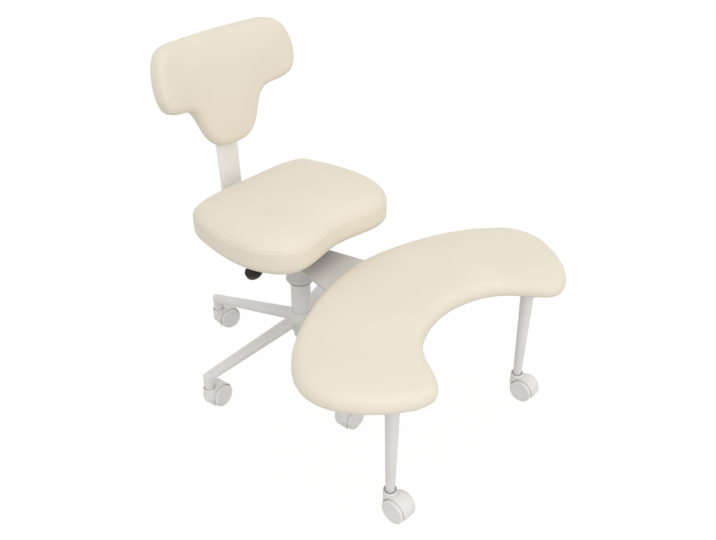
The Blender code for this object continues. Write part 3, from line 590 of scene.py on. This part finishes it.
def lengths_along(line):
    """The distance along a line at each of its points."""
    return np.concatenate([[0], np.cumsum(np.linalg.norm(np.diff(line, axis=0), axis=1))])


def sampled(line, along, wanted):
    """The points of a line at wanted distances along it."""
    return np.column_stack([np.interp(wanted, along, line[:, k]) for k in (0, 1)])


def even(loop, step):
    """A closed loop with its points at even distances."""
    closed = np.vstack([loop, loop[:1]])
    along = lengths_along(closed)
    wanted = np.linspace(0, along[-1], int(along[-1] / step), endpoint=False)
    return sampled(closed, along, wanted)


def blurred(loop, step, width):
    """A closed loop averaged along itself with a bell of the given width."""
    count = len(loop)
    away = np.minimum(np.arange(count), count - np.arange(count)) * step
    weights = np.exp(-0.5 * (away / width) ** 2)
    weights /= weights.sum()
    spectrum = np.fft.fft(weights)[:, None]
    return np.real(np.fft.ifft(np.fft.fft(loop, axis=0) * spectrum, axis=0))


def fair(loop, step=OUTLINE_STEP, width=FAIRING):
    """The loop with its facets smoothed away and its size kept."""
    loop = even(loop, step)
    once = blurred(loop, step, width)
    return even(2 * once - blurred(once, step, width), step)


def inward(loop):
    """Unit normals of a closed loop, pointing into it."""
    along = np.roll(loop, -1, axis=0) - np.roll(loop, 1, axis=0)
    along /= np.linalg.norm(along, axis=1)[:, None]
    ahead = np.roll(loop, -1, axis=0)
    area = np.sum(loop[:, 0] * ahead[:, 1] - loop[:, 1] * ahead[:, 0])
    return np.column_stack([-along[:, 1], along[:, 0]]) * np.sign(area)


def is_inside(points, loop):
    """Which points lie inside a closed loop, by counting crossings."""
    ahead = np.roll(loop, -1, axis=0)
    inside = np.zeros(len(points), bool)
    for (x0, y0), (x1, y1) in zip(loop, ahead):
        if y0 == y1:
            continue
        crosses = (y0 > points[:, 1]) != (y1 > points[:, 1])
        inside ^= crosses & (points[:, 0] < (x1 - x0) * (points[:, 1] - y0) / (y1 - y0) + x0)
    return inside


def distance_to(points, loop):
    """How far each point is from the nearest point of a loop."""
    gaps = [np.linalg.norm(loop - point, axis=1).min() for point in points]
    return np.array(gaps)


def net_over(loop, step):
    """Points and triangles that fill a closed loop; the loop's own points come first."""
    low = loop.min(axis=0)
    high = loop.max(axis=0)
    row_step = step * math.sqrt(3) / 2
    half = int(max(-low[0], high[0]) / step) + 1
    rows = []
    for row in range(int((high[1] - low[1]) / row_step) + 1):
        shift = step / 2 * (row % 2)
        place = low[1] + row * row_step
        rows += [(column * step + shift, place) for column in range(-half, half + 1)]
    grid = np.array(rows)
    grid = grid[is_inside(grid, loop)]
    grid = grid[distance_to(grid, loop) > NET_MARGIN * step]
    points = [Vector(point) for point in loop] + [Vector(point) for point in grid]
    border = list(range(len(loop)))
    _, _, faces, origins, _, _ = delaunay_2d_cdt(points, [], [border], INSIDE_ONLY, TINY)
    order = [origin[0] for origin in origins]
    return np.vstack([loop, grid]), [[order[corner] for corner in face] for face in faces]


def arc(start, end, count, lag_first):
    """A quarter ellipse of (inset, height) from start to end."""
    t = np.linspace(0, math.pi / 2, count)
    rise = np.sin(t)
    lag = 1 - np.cos(t)
    shares = (lag, rise) if lag_first else (rise, lag)
    insets, heights = [a + (b - a) * share for a, b, share in zip(start, end, shares)]
    return list(zip(insets, heights))


def section_of(sizes, thickness):
    """Rows of (inset, height) up a cushion's side, with two sewn grooves along any seam."""
    bottom_round = sizes["bottom_round"]
    top_round = sizes["top_round"]
    shoulder_start = thickness - top_round
    line = [(sizes["wrap"], 0.0)]
    line += arc((bottom_round, 0.0), (0.0, bottom_round), BOTTOM_ARC_POINTS, False)
    shoulder = arc((0.0, shoulder_start), (top_round, thickness), SHOULDER_ARC_POINTS, True)
    line += shoulder[: int(len(shoulder) * SHOULDER_SHARE)]
    line = np.array(line)
    middle = (line[:, 1] - bottom_round) / (shoulder_start - bottom_round)
    line[:, 0] -= sizes["bulge"] * np.sin(math.pi * np.clip(middle, 0, 1))
    along = lengths_along(line)
    places = np.linspace(0, along[-1], int(along[-1] / SECTION_STEP))
    if "seam" not in sizes:
        return sampled(line, along, places)
    at = np.interp(sizes["seam"], line[:, 1], along)
    clear = np.abs(places - at) > SEAM_REACH + SECTION_STEP / 3
    seam_places = at + np.linspace(-SEAM_REACH, SEAM_REACH, SEAM_ROWS)
    places = np.sort(np.concatenate([places[clear], seam_places]))
    rows = sampled(line, along, places)
    slope = np.gradient(rows, places, axis=0)
    inwards = np.column_stack([slope[:, 1], -slope[:, 0]])
    for stitches in SEAM_LINES:
        away = (places - at - stitches) / SEAM_WIDTH
        rows += inwards * (sizes["seam_depth"] * np.exp(-(away**2)))[:, None]
    return rows


def cushion_mesh(name, node, flat, unflat, sizes):
    """A crowned form over the outline of a CAD cushion, with its board's recess below.

    Also gives the numbers of the corners that its board holds, and of those along its seam.
    """
    shape = welded(node)
    level = widest_level(shape, flat)
    heights = [flat(vert.co).z for vert in shape.verts]
    base = min(heights)
    thickness = max(heights) - base
    outline = fair(ring_at(shape, flat, level), width=sizes["fairing"])
    shape.free()
    outline = outline + inward(outline) * sizes["slack"]
    normals = inward(outline)
    rows = section_of(sizes, thickness - sizes["crown"])
    form = bmesh.new()

    def add(point, height):
        return form.verts.new(unflat(Vector((point[0], point[1], base + height))))

    recess_rim = outline + normals * sizes["wrap"]
    rings = [[add(p, sizes["recess"]) for p in recess_rim]]
    for distance, height in rows:
        rings.append([add(p, height) for p in outline + normals * distance])
    join_rings(form, rings)

    count = len(outline)
    last_inset, last_height = rows[-1]
    points, faces = net_over(outline + normals * last_inset, TOP_STEP)
    depth = np.clip((distance_to(points, outline) - last_inset) / CROWN_REACH, 0, 1)
    tops = last_height + (thickness - last_height) * (1 - (1 - depth) ** 2)
    fill(form, rings[-1] + [add(p, h) for p, h in zip(points[count:], tops[count:])], faces)
    points, faces = net_over(recess_rim, UNDER_STEP)
    verts = rings[0] + [add(p, sizes["recess"]) for p in points[count:]]
    fill(form, verts, faces)
    form.verts.index_update()
    under = [vert.index for vert in set(verts + rings[1])]
    sewn = []
    if "seam" in sizes:
        nearest = int(np.abs(rows[:, 1] - sizes["seam"]).argmin())
        sewn = [vert.index for vert in rings[1 + nearest]]
    return to_mesh(form, name), under, sewn


def evened(mesh, shifts, rounds):
    """Moves of a mesh's corners, each averaged with its neighbours' a number of times."""
    edges = np.array([edge.vertices[:] for edge in mesh.edges])
    counts = np.bincount(edges.ravel(), minlength=len(shifts))[:, None]
    for _ in range(rounds):
        total = np.zeros_like(shifts)
        np.add.at(total, edges[:, 0], shifts[edges[:, 1]])
        np.add.at(total, edges[:, 1], shifts[edges[:, 0]])
        shifts = 0.5 * shifts + 0.5 * total / counts
    return shifts


def inflate(piece, under, sewn, pressure, cap):
    """Swells a cover over its foam with Cloth, held at its board and along its seam."""
    group = piece.vertex_groups.new(name="held")
    group.add(under, 1.0, "REPLACE")
    if sewn:
        group.add(sewn, SEWN_HOLD, "REPLACE")
    cloth = piece.modifiers.new("Cloth", "CLOTH")
    settings = cloth.settings
    settings.quality = 6
    settings.mass = 0.3
    settings.tension_stiffness = 18
    settings.compression_stiffness = 18
    settings.shear_stiffness = 8
    settings.bending_stiffness = 1.2
    settings.vertex_group_mass = "held"
    settings.use_pressure = True
    settings.uniform_pressure_force = pressure
    settings.effector_weights.gravity = 0
    cloth.collision_settings.use_collision = False
    cloth.point_cache.frame_start = FIRST_FRAME
    cloth.point_cache.frame_end = LAST_FRAME
    scene = bpy.context.scene
    for number in range(FIRST_FRAME, LAST_FRAME + 1):
        scene.frame_set(number)
    graph = bpy.context.evaluated_depsgraph_get()
    swollen = piece.evaluated_get(graph).data
    pairs = zip(piece.data.vertices, swollen.vertices)
    shifts = np.array([moved.co - vert.co for vert, moved in pairs])
    lengths = np.maximum(np.linalg.norm(shifts, axis=1), TINY)
    shifts *= np.minimum(1, cap / lengths)[:, None]
    shifts = evened(piece.data, shifts, EVENING)
    for vert, shift in zip(piece.data.vertices, shifts):
        vert.co += Vector(shift)
    piece.modifiers.remove(cloth)
    piece.vertex_groups.remove(group)
    scene.frame_set(FIRST_FRAME)


def upright(place):
    """A point of a level cushion, which already lies flat."""
    return place.copy()


def laid_flat(place):
    """A point of the leaning, wrapped back as (across, up the back, forward)."""
    tilt = math.radians(BACK_TILT)
    up = place.y * math.sin(tilt) + place.z * math.cos(tilt)
    forward = -place.y * math.cos(tilt) + place.z * math.sin(tilt)
    return Vector((place.x, up, forward - place.x**2 / (2 * BACK_BEND_RADIUS)))


def leaned(place):
    """The point of the back at (across, up the back, forward): laid_flat undone."""
    tilt = math.radians(BACK_TILT)
    forward = place.z + place.x**2 / (2 * BACK_BEND_RADIUS)
    y = place.y * math.sin(tilt) - forward * math.cos(tilt)
    return Vector((place.x, y, place.y * math.cos(tilt) + forward * math.sin(tilt)))


CUSHIONS = {
    "seat_cushion": {
        "body": "seat",
        "forms": (upright, upright),
        "sizes": {
            "fairing": 0.010,
            "slack": -0.0020,
            "crown": 0.007,
            "wrap": 0.034,
            "recess": 0.0092,
            "bottom_round": 0.026,
            "top_round": 0.034,
            "bulge": 0.001,
            "seam": 0.070,
            "seam_depth": 0.0012,
        },
        "pressure": 4.0,
        "cap": 0.006,
    },
    "stool_cushion": {
        "body": "stool",
        "forms": (upright, upright),
        "sizes": {
            "fairing": 0.010,
            "slack": -0.0025,
            "crown": 0.005,
            "wrap": 0.022,
            "recess": 0.0122,
            "bottom_round": 0.013,
            "top_round": 0.026,
            "bulge": 0.0005,
        },
        "pressure": 4.0,
        "cap": 0.005,
    },
    "back_cushion": {
        "body": "seat",
        "forms": (laid_flat, leaned),
        "sizes": {
            "fairing": 0.007,
            "slack": -0.0010,
            "crown": 0.005,
            "wrap": 0.017,
            "recess": 0.0102,
            "bottom_round": 0.012,
            "top_round": 0.021,
            "bulge": 0.0005,
            "seam": 0.030,
            "seam_depth": 0.0008,
        },
        "pressure": 4.0,
        "cap": 0.005,
    },
}


def add_cushions():
    """The three pads, each swollen over its foam."""
    for node, plan in CUSHIONS.items():
        flat, unflat = plan["forms"]
        name = node.replace("cushion", "pad")
        mesh, under, sewn = cushion_mesh(name, node, flat, unflat, plan["sizes"])
        pad = add_piece(name, mesh, "cover", plan["body"], (node,), crease=70)
        inflate(pad, under, sewn, plan["pressure"], plan["cap"])


# Hard pieces

def at_column():
    """The place of the column's axis on the floor."""
    return Matrix.Translation((*COLUMN, 0))


def half_width(node):
    low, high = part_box(node)
    return (high[0] - low[0]) / 2


def centre_of(node):
    low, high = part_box(node)
    return (Vector(low) + Vector(high)) / 2


def add_column():
    """Outer tube of the gas column, with its edges rounded."""
    low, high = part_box("column_tube")
    hub_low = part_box("hub")[0][2]
    outer = half_width("column_tube")
    inner = outer - TUBE_WALL
    tail = outer - COLUMN_STEP
    profile = [
        (inner, high[2]),
        (outer, high[2]),
        (outer, hub_low),
        (tail, hub_low - COLUMN_STEP),
        (tail, low[2]),
        (COLUMN_FOOT_HOLE, low[2]),
        (COLUMN_FOOT_HOLE, low[2] + COLUMN_FLOOR),
        (tail - TUBE_WALL, low[2] + COLUMN_FLOOR),
        (tail - TUBE_WALL, hub_low),
        (inner, hub_low + COLUMN_STEP),
    ]
    line = filleted(profile, radius=0.001, steps=3, closed=True)
    mesh = swept(line, FINE_SIDES, closed=True)
    add_piece("column_skin", mesh, "paint", "base", ("column_tube",), at_column())


def squarish(wave):
    """A sine or cosine that lingers a little at its ends, for a fuller oval."""
    return math.copysign(abs(wave) ** LEG_SQUARENESS, wave)


def oval_ring(shape, along, size, middle, limit):
    """One ring of an oval leg, a little squarer than an ellipse and no wider than a limit."""
    ring = []
    for i in range(LEG_SIDES):
        turn = 2 * math.pi * i / LEG_SIDES
        across = squarish(math.cos(turn)) * size[0] / 2
        rise = squarish(math.sin(turn)) * size[1] / 2
        ring.append(shape.verts.new((along, max(-limit, min(limit, across)), middle + rise)))
    return ring


def oval_leg(tip):
    """A tapered oval bar along +X from the hub's wall, with a round upright end at its tip."""
    top_at_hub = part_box("hub")[1][2] - HUB_LIP
    top_at_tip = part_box("base_leg_1")[0][2] + LEG_END_HEIGHT
    reach = tip + SOCKET_RADIUS
    stations = []
    for k in range(LEG_RINGS):
        stations.append((LEG_START + (tip - LEG_START) * k / LEG_RINGS, LEG_HUB_SIZE[0]))
    for k in range(LEG_END_STEPS):
        turn = math.pi / 2 * k / LEG_END_STEPS
        stations.append((tip + SOCKET_RADIUS * math.sin(turn), SOCKET_RADIUS * math.cos(turn)))
    shape = bmesh.new()
    rings = []
    for along, limit in stations:
        share = along / reach
        size = [hub + (end - hub) * share for hub, end in zip(LEG_HUB_SIZE, LEG_TIP_SIZE)]
        middle = top_at_hub + (top_at_tip - top_at_hub) * share - size[1] / 2
        rings.append(oval_ring(shape, along, size, middle, limit))
    join_rings(shape, rings)
    shape.faces.new(rings[0])
    shape.faces.new(rings[-1])
    return to_mesh(shape, "leg")


def cast(shapes, name):
    """Overlapping closed shapes melted into one casting with soft corners."""
    return applied(
        joined(shapes, name),
        ("REMESH", {"mode": "VOXEL", "voxel_size": CASTING_GRAIN}),
        ("SMOOTH", {"factor": 0.5, "iterations": CASTING_SMOOTHING}),
    )


def add_base():
    """Hub and five legs as one casting, melted together, with its sockets bored."""
    hub_low, hub_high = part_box("hub")
    top = hub_high[2] - HUB_LIP
    radius = half_width("hub")
    bore = half_width("column_tube") - TUBE_WALL / 2
    profile = [
        (bore, hub_high[2]),
        (bore + HUB_RIM_WALL, hub_high[2]),
        (radius, top + HUB_SHOULDER),
        (radius, top - LEG_HUB_SIZE[1]),
        (bore + HUB_FOOT_WALL, hub_low[2]),
        (bore, hub_low[2]),
    ]
    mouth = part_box("base_leg_1")[0][2]
    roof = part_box("caster_1_stem")[1][2] + STEM_GAP
    line = filleted(profile, radius=0.0015, steps=3, closed=True)
    shapes = [swept(line, FINE_SIDES, closed=True)]
    bores = []
    for number in range(1, 6):
        place = joint_place(f"caster_{number}_swivel").xy - COLUMN
        leg = oval_leg(place.length)
        leg.transform(Matrix.Rotation(math.atan2(place.y, place.x), 4, "Z"))
        socket = bar(SOCKET_RADIUS, mouth, mouth + LEG_END_HEIGHT - LEG_TIP_SIZE[1] / 2)
        hole = bar(STEM_HOLE, mouth - THROUGH, roof, SMALL_SIDES)
        for mesh in (socket, hole):
            mesh.transform(Matrix.Translation((place.x, place.y, 0)))
        shapes += [leg, socket]
        bores.append(hole)
    mesh = boolean(cast(shapes, "base_casting"), "DIFFERENCE", joined(bores, "bores"))
    legs = [f"base_leg_{number}" for number in range(1, 6)]
    add_piece("base_casting", mesh, "paint", "base", ["hub", *legs], at_column(), crease=60)


def wheel_mesh(radius, width):
    """A caster wheel, its inner face at z = 0: rounded tread, rim line and centre cap."""
    line = radius - RIM_LINE_INSET
    profile = [
        (0, width - AXLE_END_DEPTH),
        (AXLE_HOLE, width - AXLE_END_DEPTH),
        (AXLE_HOLE, 0),
        (radius - TREAD_EDGE, 0),
        (radius, TREAD_EDGE),
        (radius, width - TREAD_SHOULDER),
        (radius - 0.0009, width - 0.0009),
        (radius - TREAD_SHOULDER, width),
        (line + 0.0006, width),
        (line + 0.0003, width - RIM_LINE_DEPTH),
        (line - 0.0003, width - RIM_LINE_DEPTH),
        (line - 0.0008, width - RIM_LINE_DEPTH / 3),
    ]
    profile += [(distance, width - depth) for distance, depth in WHEEL_CENTRE]
    return swept(filleted(profile, radius=0.0005, steps=3), FINE_SIDES)


def housing_mesh(trail, axle_height, top):
    """Hood, web and swivel cup of a caster; the swivel axis is Z and the axle is at +X."""
    outer = axle_height + HOOD_RISE
    inner = outer - HOOD_WALL
    hood = HOOD_WIDTH / 2
    web = WEB_WIDTH / 2
    section = [
        (outer, hood),
        (outer, -hood),
        (inner, -hood),
        (inner, -web),
        (WEB_START, -web),
        (WEB_START, web),
        (inner, web),
        (inner, hood),
    ]
    behind = math.asin(HOOD_SKIRT / outer)
    before = math.asin(HOOD_FRONT_SKIRT / outer)
    line = filleted(section, radius=0.0009, steps=3, closed=True)
    turn = math.pi + behind + before
    shell = swept(line, HOUSING_SIDES, closed=True, start=-behind, turn=turn)
    bearing = bar(BEARING_RADIUS, -web, web)
    axle = bar(AXLE_HOLE, -hood, hood, AXLE_SIDES)
    at_axle = Matrix.Translation((trail, 0, axle_height)) @ Matrix.Rotation(math.pi / 2, 4, "X")
    for mesh in (shell, bearing, axle):
        mesh.transform(at_axle)
    cup = [
        (0, top - BOSS_DEPTH),
        (CUP_RADIUS, top - BOSS_DEPTH),
        (CUP_RADIUS, top + CUP_DEPTH),
        (CUP_RADIUS - CUP_WALL, top + CUP_DEPTH),
        (CUP_RADIUS - CUP_WALL, top),
        (0, top),
    ]
    boss = swept(filleted(cup, radius=0.0010, steps=3), HOUSING_SIDES)
    for side in (1, -1):
        room = bar(inner, web, 2 * hood)
        room.transform(at_axle @ Matrix.Scale(side, 4, (0, 0, 1)))
        boss = boolean(boss, "DIFFERENCE", joined([room], "room"))
    mesh = boolean(shell, "UNION", bearing)
    mesh = boolean(mesh, "UNION", boss)
    mesh = boolean(mesh, "DIFFERENCE", axle)
    stem_hole = bar(STEM_HOLE, top - STEM_IN_HOUSING, top + CUP_DEPTH, SMALL_SIDES)
    return boolean(mesh, "DIFFERENCE", stem_hole)


def add_casters():
    """Seven casters of one pattern, each at its own swivel and heading."""
    housing = None
    wheel = None
    for number in range(1, 8):
        name = f"caster_{number}"
        swivel = joint_place(f"{name}_swivel")
        axle = joint_place(f"{name}_roll_left")
        trail = Vector((axle.x - swivel.x, axle.y - swivel.y, 0))
        ahead = trail.normalized()
        across = UP.cross(ahead)
        corners = frame["nodes"][f"{name}_wheel_left"].data.vertices
        reach = [(vert.co - axle).dot(across) for vert in corners]
        if housing is None:
            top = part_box(f"{name}_stem")[0][2] + STEM_IN_HOUSING
            housing = housing_mesh(trail.length, axle.z, top)
            wheel = wheel_mesh(axle.z, max(reach) - min(reach))
        turn = Matrix((ahead, across, UP)).transposed().to_4x4()
        place = Matrix.Translation((swivel.x, swivel.y, 0)) @ turn
        add_piece(f"{name}_hood", housing, "caster_plastic", name, (f"{name}_housing",), place)
        for side, outward in (("left", across), ("right", -across)):
            turn = Matrix((UP, outward.cross(UP), outward))
            place = Matrix.Translation(axle + outward * min(reach)) @ turn.transposed().to_4x4()
            body = f"{name}_wheel_{side}"
            add_piece(f"{name}_tyre_{side}", wheel, "caster_plastic", body, (body,), place)


def add_stool_legs():
    """Tapered tubes with their mounting flanges, hollow round the caster's stem."""
    low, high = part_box("stool_leg_left")
    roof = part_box("caster_6_stem")[1][2] + STEM_GAP
    flange = half_width("stool_leg_left")
    under = high[2] - FLANGE_HEIGHT
    profile = [
        (0, high[2]),
        (flange, high[2]),
        (flange, under),
        (STOOL_LEG_TOP + STOOL_LEG_FLARE[0], under),
        (STOOL_LEG_TOP, under - STOOL_LEG_FLARE[1]),
        (STOOL_LEG_FOOT, low[2]),
        (STEM_HOLE, low[2]),
        (STEM_HOLE, roof),
        (0, roof),
    ]
    mesh = swept(filleted(profile, radius=0.0012, steps=4), LEG_TUBE_SIDES)
    swivels = [joint_place(f"caster_{number}_swivel").xy for number in (6, 7)]
    for side in ("left", "right"):
        node = f"stool_leg_{side}"
        middle = centre_of(node).xy
        foot = min(swivels, key=lambda swivel: (middle - swivel).length)
        place = Matrix.Translation((*foot, 0))
        add_piece(f"stool_{side}_tube", mesh, "paint", "stool", (node,), place)


def slab_mesh(name, node, flat, unflat, edge, width=FAIRING):
    """A board or plate over the outline of a CAD node, with rounded edges."""
    shape = welded(node)
    heights = [flat(vert.co).z for vert in shape.verts]
    low = min(heights)
    high = max(heights)
    outline = fair(ring_at(shape, flat, low), width=width)
    shape.free()
    normals = inward(outline)
    rows = arc((edge, low), (0, low + edge), 4, False)
    rows += arc((0, high - edge), (edge, high), 4, True)
    form = bmesh.new()

    def add(point, height):
        return form.verts.new(unflat(Vector((point[0], point[1], height))))

    rings = []
    for distance, height in rows:
        rings.append([add(p, height) for p in outline + normals * distance])
    join_rings(form, rings)
    points, faces = net_over(outline + normals * edge, BOARD_STEP)
    for ring, height in ((rings[0], low), (rings[-1], high)):
        fill(form, ring + [add(p, height) for p in points[len(outline) :]], faces)
    return to_mesh(form, name)


def add_boards():
    """The three boards that the cushions are fastened to."""
    for node, body, slot, forms in (
        ("seat_board", "seat", "plywood", (upright, upright)),
        ("stool_board", "stool", "plywood", (upright, upright)),
        ("back_board", "seat", "back_shell", (laid_flat, leaned)),
    ):
        mesh = slab_mesh(f"{node}_panel", node, *forms, BOARD_EDGE)
        add_piece(f"{node}_panel", mesh, slot, body, (node,))


def add_arm():
    """Swivel collar and arm plate as one casting: a bell below and a flare into the plate."""
    low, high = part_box("collar")
    plate_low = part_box("arm_plate")[0][2]
    outer = half_width("collar")
    waist = outer - COLLAR_WAIST
    hole = half_width("column_tube") + BUSH_WALL + 2 * STEM_GAP
    profile = [
        (0, high[2]),
        (waist, high[2]),
        (outer + COLLAR_FLARE, plate_low + STEM_GAP),
        (waist, plate_low - COLLAR_FLARE_DEPTH),
        (waist, low[2] + COLLAR_SKIRT),
        (outer, low[2] + COLLAR_EDGE),
        (outer - COLLAR_EDGE / 4, low[2] + COLLAR_EDGE / 4),
        (outer - COLLAR_EDGE, low[2]),
        (0, low[2]),
    ]
    collar = swept(filleted(profile, radius=0.008, steps=5), COLLAR_SIDES)
    collar.transform(at_column())
    plate = slab_mesh("arm", "arm_plate", upright, upright, ARM_EDGE, ARM_FAIRING)
    passage = bar(hole, low[2] - THROUGH, high[2] + THROUGH, COLLAR_SIDES)
    passage.transform(at_column())
    mesh = boolean(cast([collar, plate], "arm"), "DIFFERENCE", passage)
    nodes = ("collar", "arm_plate")
    # The arm's finish carries painted light and shade: pale where its faces point up, greyer on its sides and
    # below
    add_piece("stool_arm", mesh, "paint", "stool", nodes, crease=60, finish="arm_lit_and_shaded")


def add_eased():
    """Bars and pressings whose solids only need their edges rounded."""
    for node, body, slot, finish, width in (
        # The back post is in the same paint as the base, shown with a lighter copy of it: painted light
        ("back_post", "seat", "paint", "post_lit_paint", 0.0016),
        ("seat_mechanism", "seat", "black_paint", "black_paint", 0.0009),
        ("lever_paddle", "lever", "black_plastic", "black_plastic", 0.0012),
    ):
        add_piece(f"{node}_eased", eased(node, width), slot, body, (node,), finish=finish)


def screw_mesh(radius):
    """A button-head screw standing up along Z, with a hexagon socket."""
    profile = [(radius * across, radius * up) for across, up in SCREW_OUTLINE]
    head = swept(filleted(profile, radius * SCREW_FILLET, steps=3), SMALL_SIDES)
    floor = radius * SCREW_SOCKET_FLOOR
    socket = bar(radius * SCREW_SOCKET_SIZE, floor, radius, sides=6)
    return boolean(head, "DIFFERENCE", socket)


def screws_below(large, small):
    """Rows of (body, mesh, place, way) for the screws under the seat and the stool."""
    low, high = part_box("seat_mechanism")
    in_x, in_y = MECHANISM_SCREW_INSET
    for x in (low[0] + in_x, high[0] - in_x):
        for y in (low[1] + in_y, high[1] - in_y):
            yield "seat", large, Vector((x, y, high[2] - MECHANISM_SHEET)), DOWN
    low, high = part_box("arm_plate")
    for x, y in PLATE_SCREWS:
        for side in (-x, x):
            yield "stool", large, Vector((side, low[1] + y, low[2])), DOWN
    for node in ("stool_leg_left", "stool_leg_right"):
        centre = centre_of(node)
        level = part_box(node)[1][2] - FLANGE_HEIGHT
        for k in range(4):
            turn = math.radians(45 + 90 * k)
            x = centre.x + FLANGE_SCREWS * math.cos(turn)
            y = centre.y + FLANGE_SCREWS * math.sin(turn)
            yield "stool", small, Vector((x, y, level)), DOWN


def screws_behind(mesh):
    """Rows of (body, mesh, place, way) for the screws in the back post's rear face."""
    corners = frame["nodes"]["back_post"].data.vertices
    flats = [laid_flat(Vector((0, *vert.co.yz))) for vert in corners]
    top = max(place.y for place in flats)
    rear = min(place.z for place in flats if place.y > top - POST_TOP_BAND)
    behind = (leaned(DOWN) - leaned(Vector((0, 0, 0)))).normalized()
    for x in (-POST_SCREW_X, POST_SCREW_X):
        for drop in POST_SCREW_DROPS:
            spot = leaned(Vector((0, top - drop, rear)))
            yield "seat", mesh, Vector((x, spot.y, spot.z)), behind


def add_screws():
    """Screws under the seat, the arm plate and the legs' flanges, and behind the back."""
    large = screw_mesh(SCREW_RADIUS)
    small = screw_mesh(SMALL_SCREW_RADIUS)
    rows = [*screws_below(large, small), *screws_behind(large)]
    for number, (body, mesh, spot, way) in enumerate(rows, 1):
        turn = UP.rotation_difference(way).to_matrix().to_4x4()
        slot = "steel" if mesh is small else "black_paint"
        add_piece(f"screw_{number}", mesh, slot, body, (), Matrix.Translation(spot) @ turn)


# Camera, light and stage

def add_camera():
    azimuth = math.radians(CAMERA_AZIMUTH)
    elevation = math.radians(CAMERA_ELEVATION)
    right = Vector((math.cos(azimuth), math.sin(azimuth), 0))
    ahead = Vector((-math.sin(azimuth), math.cos(azimuth), 0))
    back = UP * math.sin(elevation) - ahead * math.cos(elevation)
    up = back.cross(right)
    aim = Vector((*COLUMN, AIM_HEIGHT)) + right * AIM_RIGHT - up * AIM_DOWN
    data = bpy.data.cameras.new("camera")
    data.lens = CAMERA_LENS
    data.sensor_width = CAMERA_SENSOR
    camera = bpy.data.objects.new("camera", data)
    bpy.context.scene.collection.objects.link(camera)
    turn = Matrix((right, up, back)).transposed().to_4x4()
    camera.matrix_world = Matrix.Translation(aim + back * CAMERA_DISTANCE) @ turn
    bpy.context.scene.camera = camera


def add_lamp(name, power, size, place):
    """A round area lamp that faces the middle of the chair."""
    data = bpy.data.lights.new(name, "AREA")
    data.energy = power
    data.shape = "DISK"
    data.size = size
    lamp = bpy.data.objects.new(name, data)
    bpy.context.scene.collection.objects.link(lamp)
    lamp.location = place
    aim = Vector((*COLUMN, AIM_HEIGHT)) - lamp.location
    lamp.rotation_euler = aim.to_track_quat("-Z", "Y").to_euler()


def shown_directly(tree):
    """1 on rays from the camera, mirrors and glass, and 0 on the rays that light the chair."""
    rays = tree.nodes.new("ShaderNodeLightPath")
    most = rays.outputs["Is Camera Ray"]
    for other in ("Is Glossy Ray", "Is Transmission Ray"):
        larger = tree.nodes.new("ShaderNodeMath")
        larger.operation = "MAXIMUM"
        tree.links.new(most, larger.inputs[0])
        tree.links.new(rays.outputs[other], larger.inputs[1])
        most = larger.outputs[0]
    return most


def add_world():
    """Even white light from all round, and plain white where it is seen directly."""
    world = bpy.data.worlds.new("studio")
    bpy.context.scene.world = world
    world.use_nodes = True
    tree = world.node_tree
    tree.nodes.clear()
    light = tree.nodes.new("ShaderNodeBackground")
    light.inputs["Strength"].default_value = WORLD_STRENGTH
    white = tree.nodes.new("ShaderNodeBackground")
    for shade in (light, white):
        shade.inputs["Color"].default_value = (1, 1, 1, 1)
    mix = tree.nodes.new("ShaderNodeMixShader")
    tree.links.new(shown_directly(tree), mix.inputs[0])
    tree.links.new(light.outputs[0], mix.inputs[1])
    tree.links.new(white.outputs[0], mix.inputs[2])
    tree.links.new(mix.outputs[0], tree.nodes.new("ShaderNodeOutputWorld").inputs["Surface"])


def add_floor():
    """A pale floor that is nearly white to the camera and keeps the chair's shadow."""
    finish, tree, shader = new_material("pale_floor", FLOOR_ROUGHNESS)
    shader.inputs["Base Color"].default_value = (*FLOOR_COLOUR, 1)
    shader.inputs["Specular IOR Level"].default_value = FLOOR_SHINE
    white = tree.nodes.new("ShaderNodeEmission")
    white.inputs["Strength"].default_value = FLOOR_GLOW
    share = tree.nodes.new("ShaderNodeMath")
    share.operation = "MULTIPLY"
    share.inputs[1].default_value = FLOOR_WHITE
    tree.links.new(shown_directly(tree), share.inputs[0])
    mix = tree.nodes.new("ShaderNodeMixShader")
    tree.links.new(share.outputs[0], mix.inputs[0])
    tree.links.new(shader.outputs[0], mix.inputs[1])
    tree.links.new(white.outputs[0], mix.inputs[2])
    tree.links.new(mix.outputs[0], tree.nodes["Material Output"].inputs["Surface"])
    shape = bmesh.new()
    bmesh.ops.create_grid(shape, x_segments=1, y_segments=1, size=FLOOR_SIZE)
    floor = bpy.data.objects.new("floor", to_mesh(shape, "floor"))
    floor.data.materials.append(finish)
    bpy.context.scene.collection.objects.link(floor)


def finish_nodes():
    """Gives each CAD node its procedural finish."""
    for row in frame["record"]["subparts"]:
        item = frame["nodes"][row["node"]]
        item.data.materials.clear()
        item.data.materials.append(FINISHES[row["material_slot"]])


bpy.context.scene.view_settings.view_transform = "Standard"
finish_nodes()
add_cushions()
add_boards()
add_base()
add_column()
add_arm()
add_stool_legs()
add_casters()
add_eased()
add_screws()
add_camera()
add_lamp("key", KEY_POWER, KEY_SIZE, KEY_PLACE)
add_lamp("fill", FILL_POWER, FILL_SIZE, FILL_PLACE)
add_world()
add_floor()
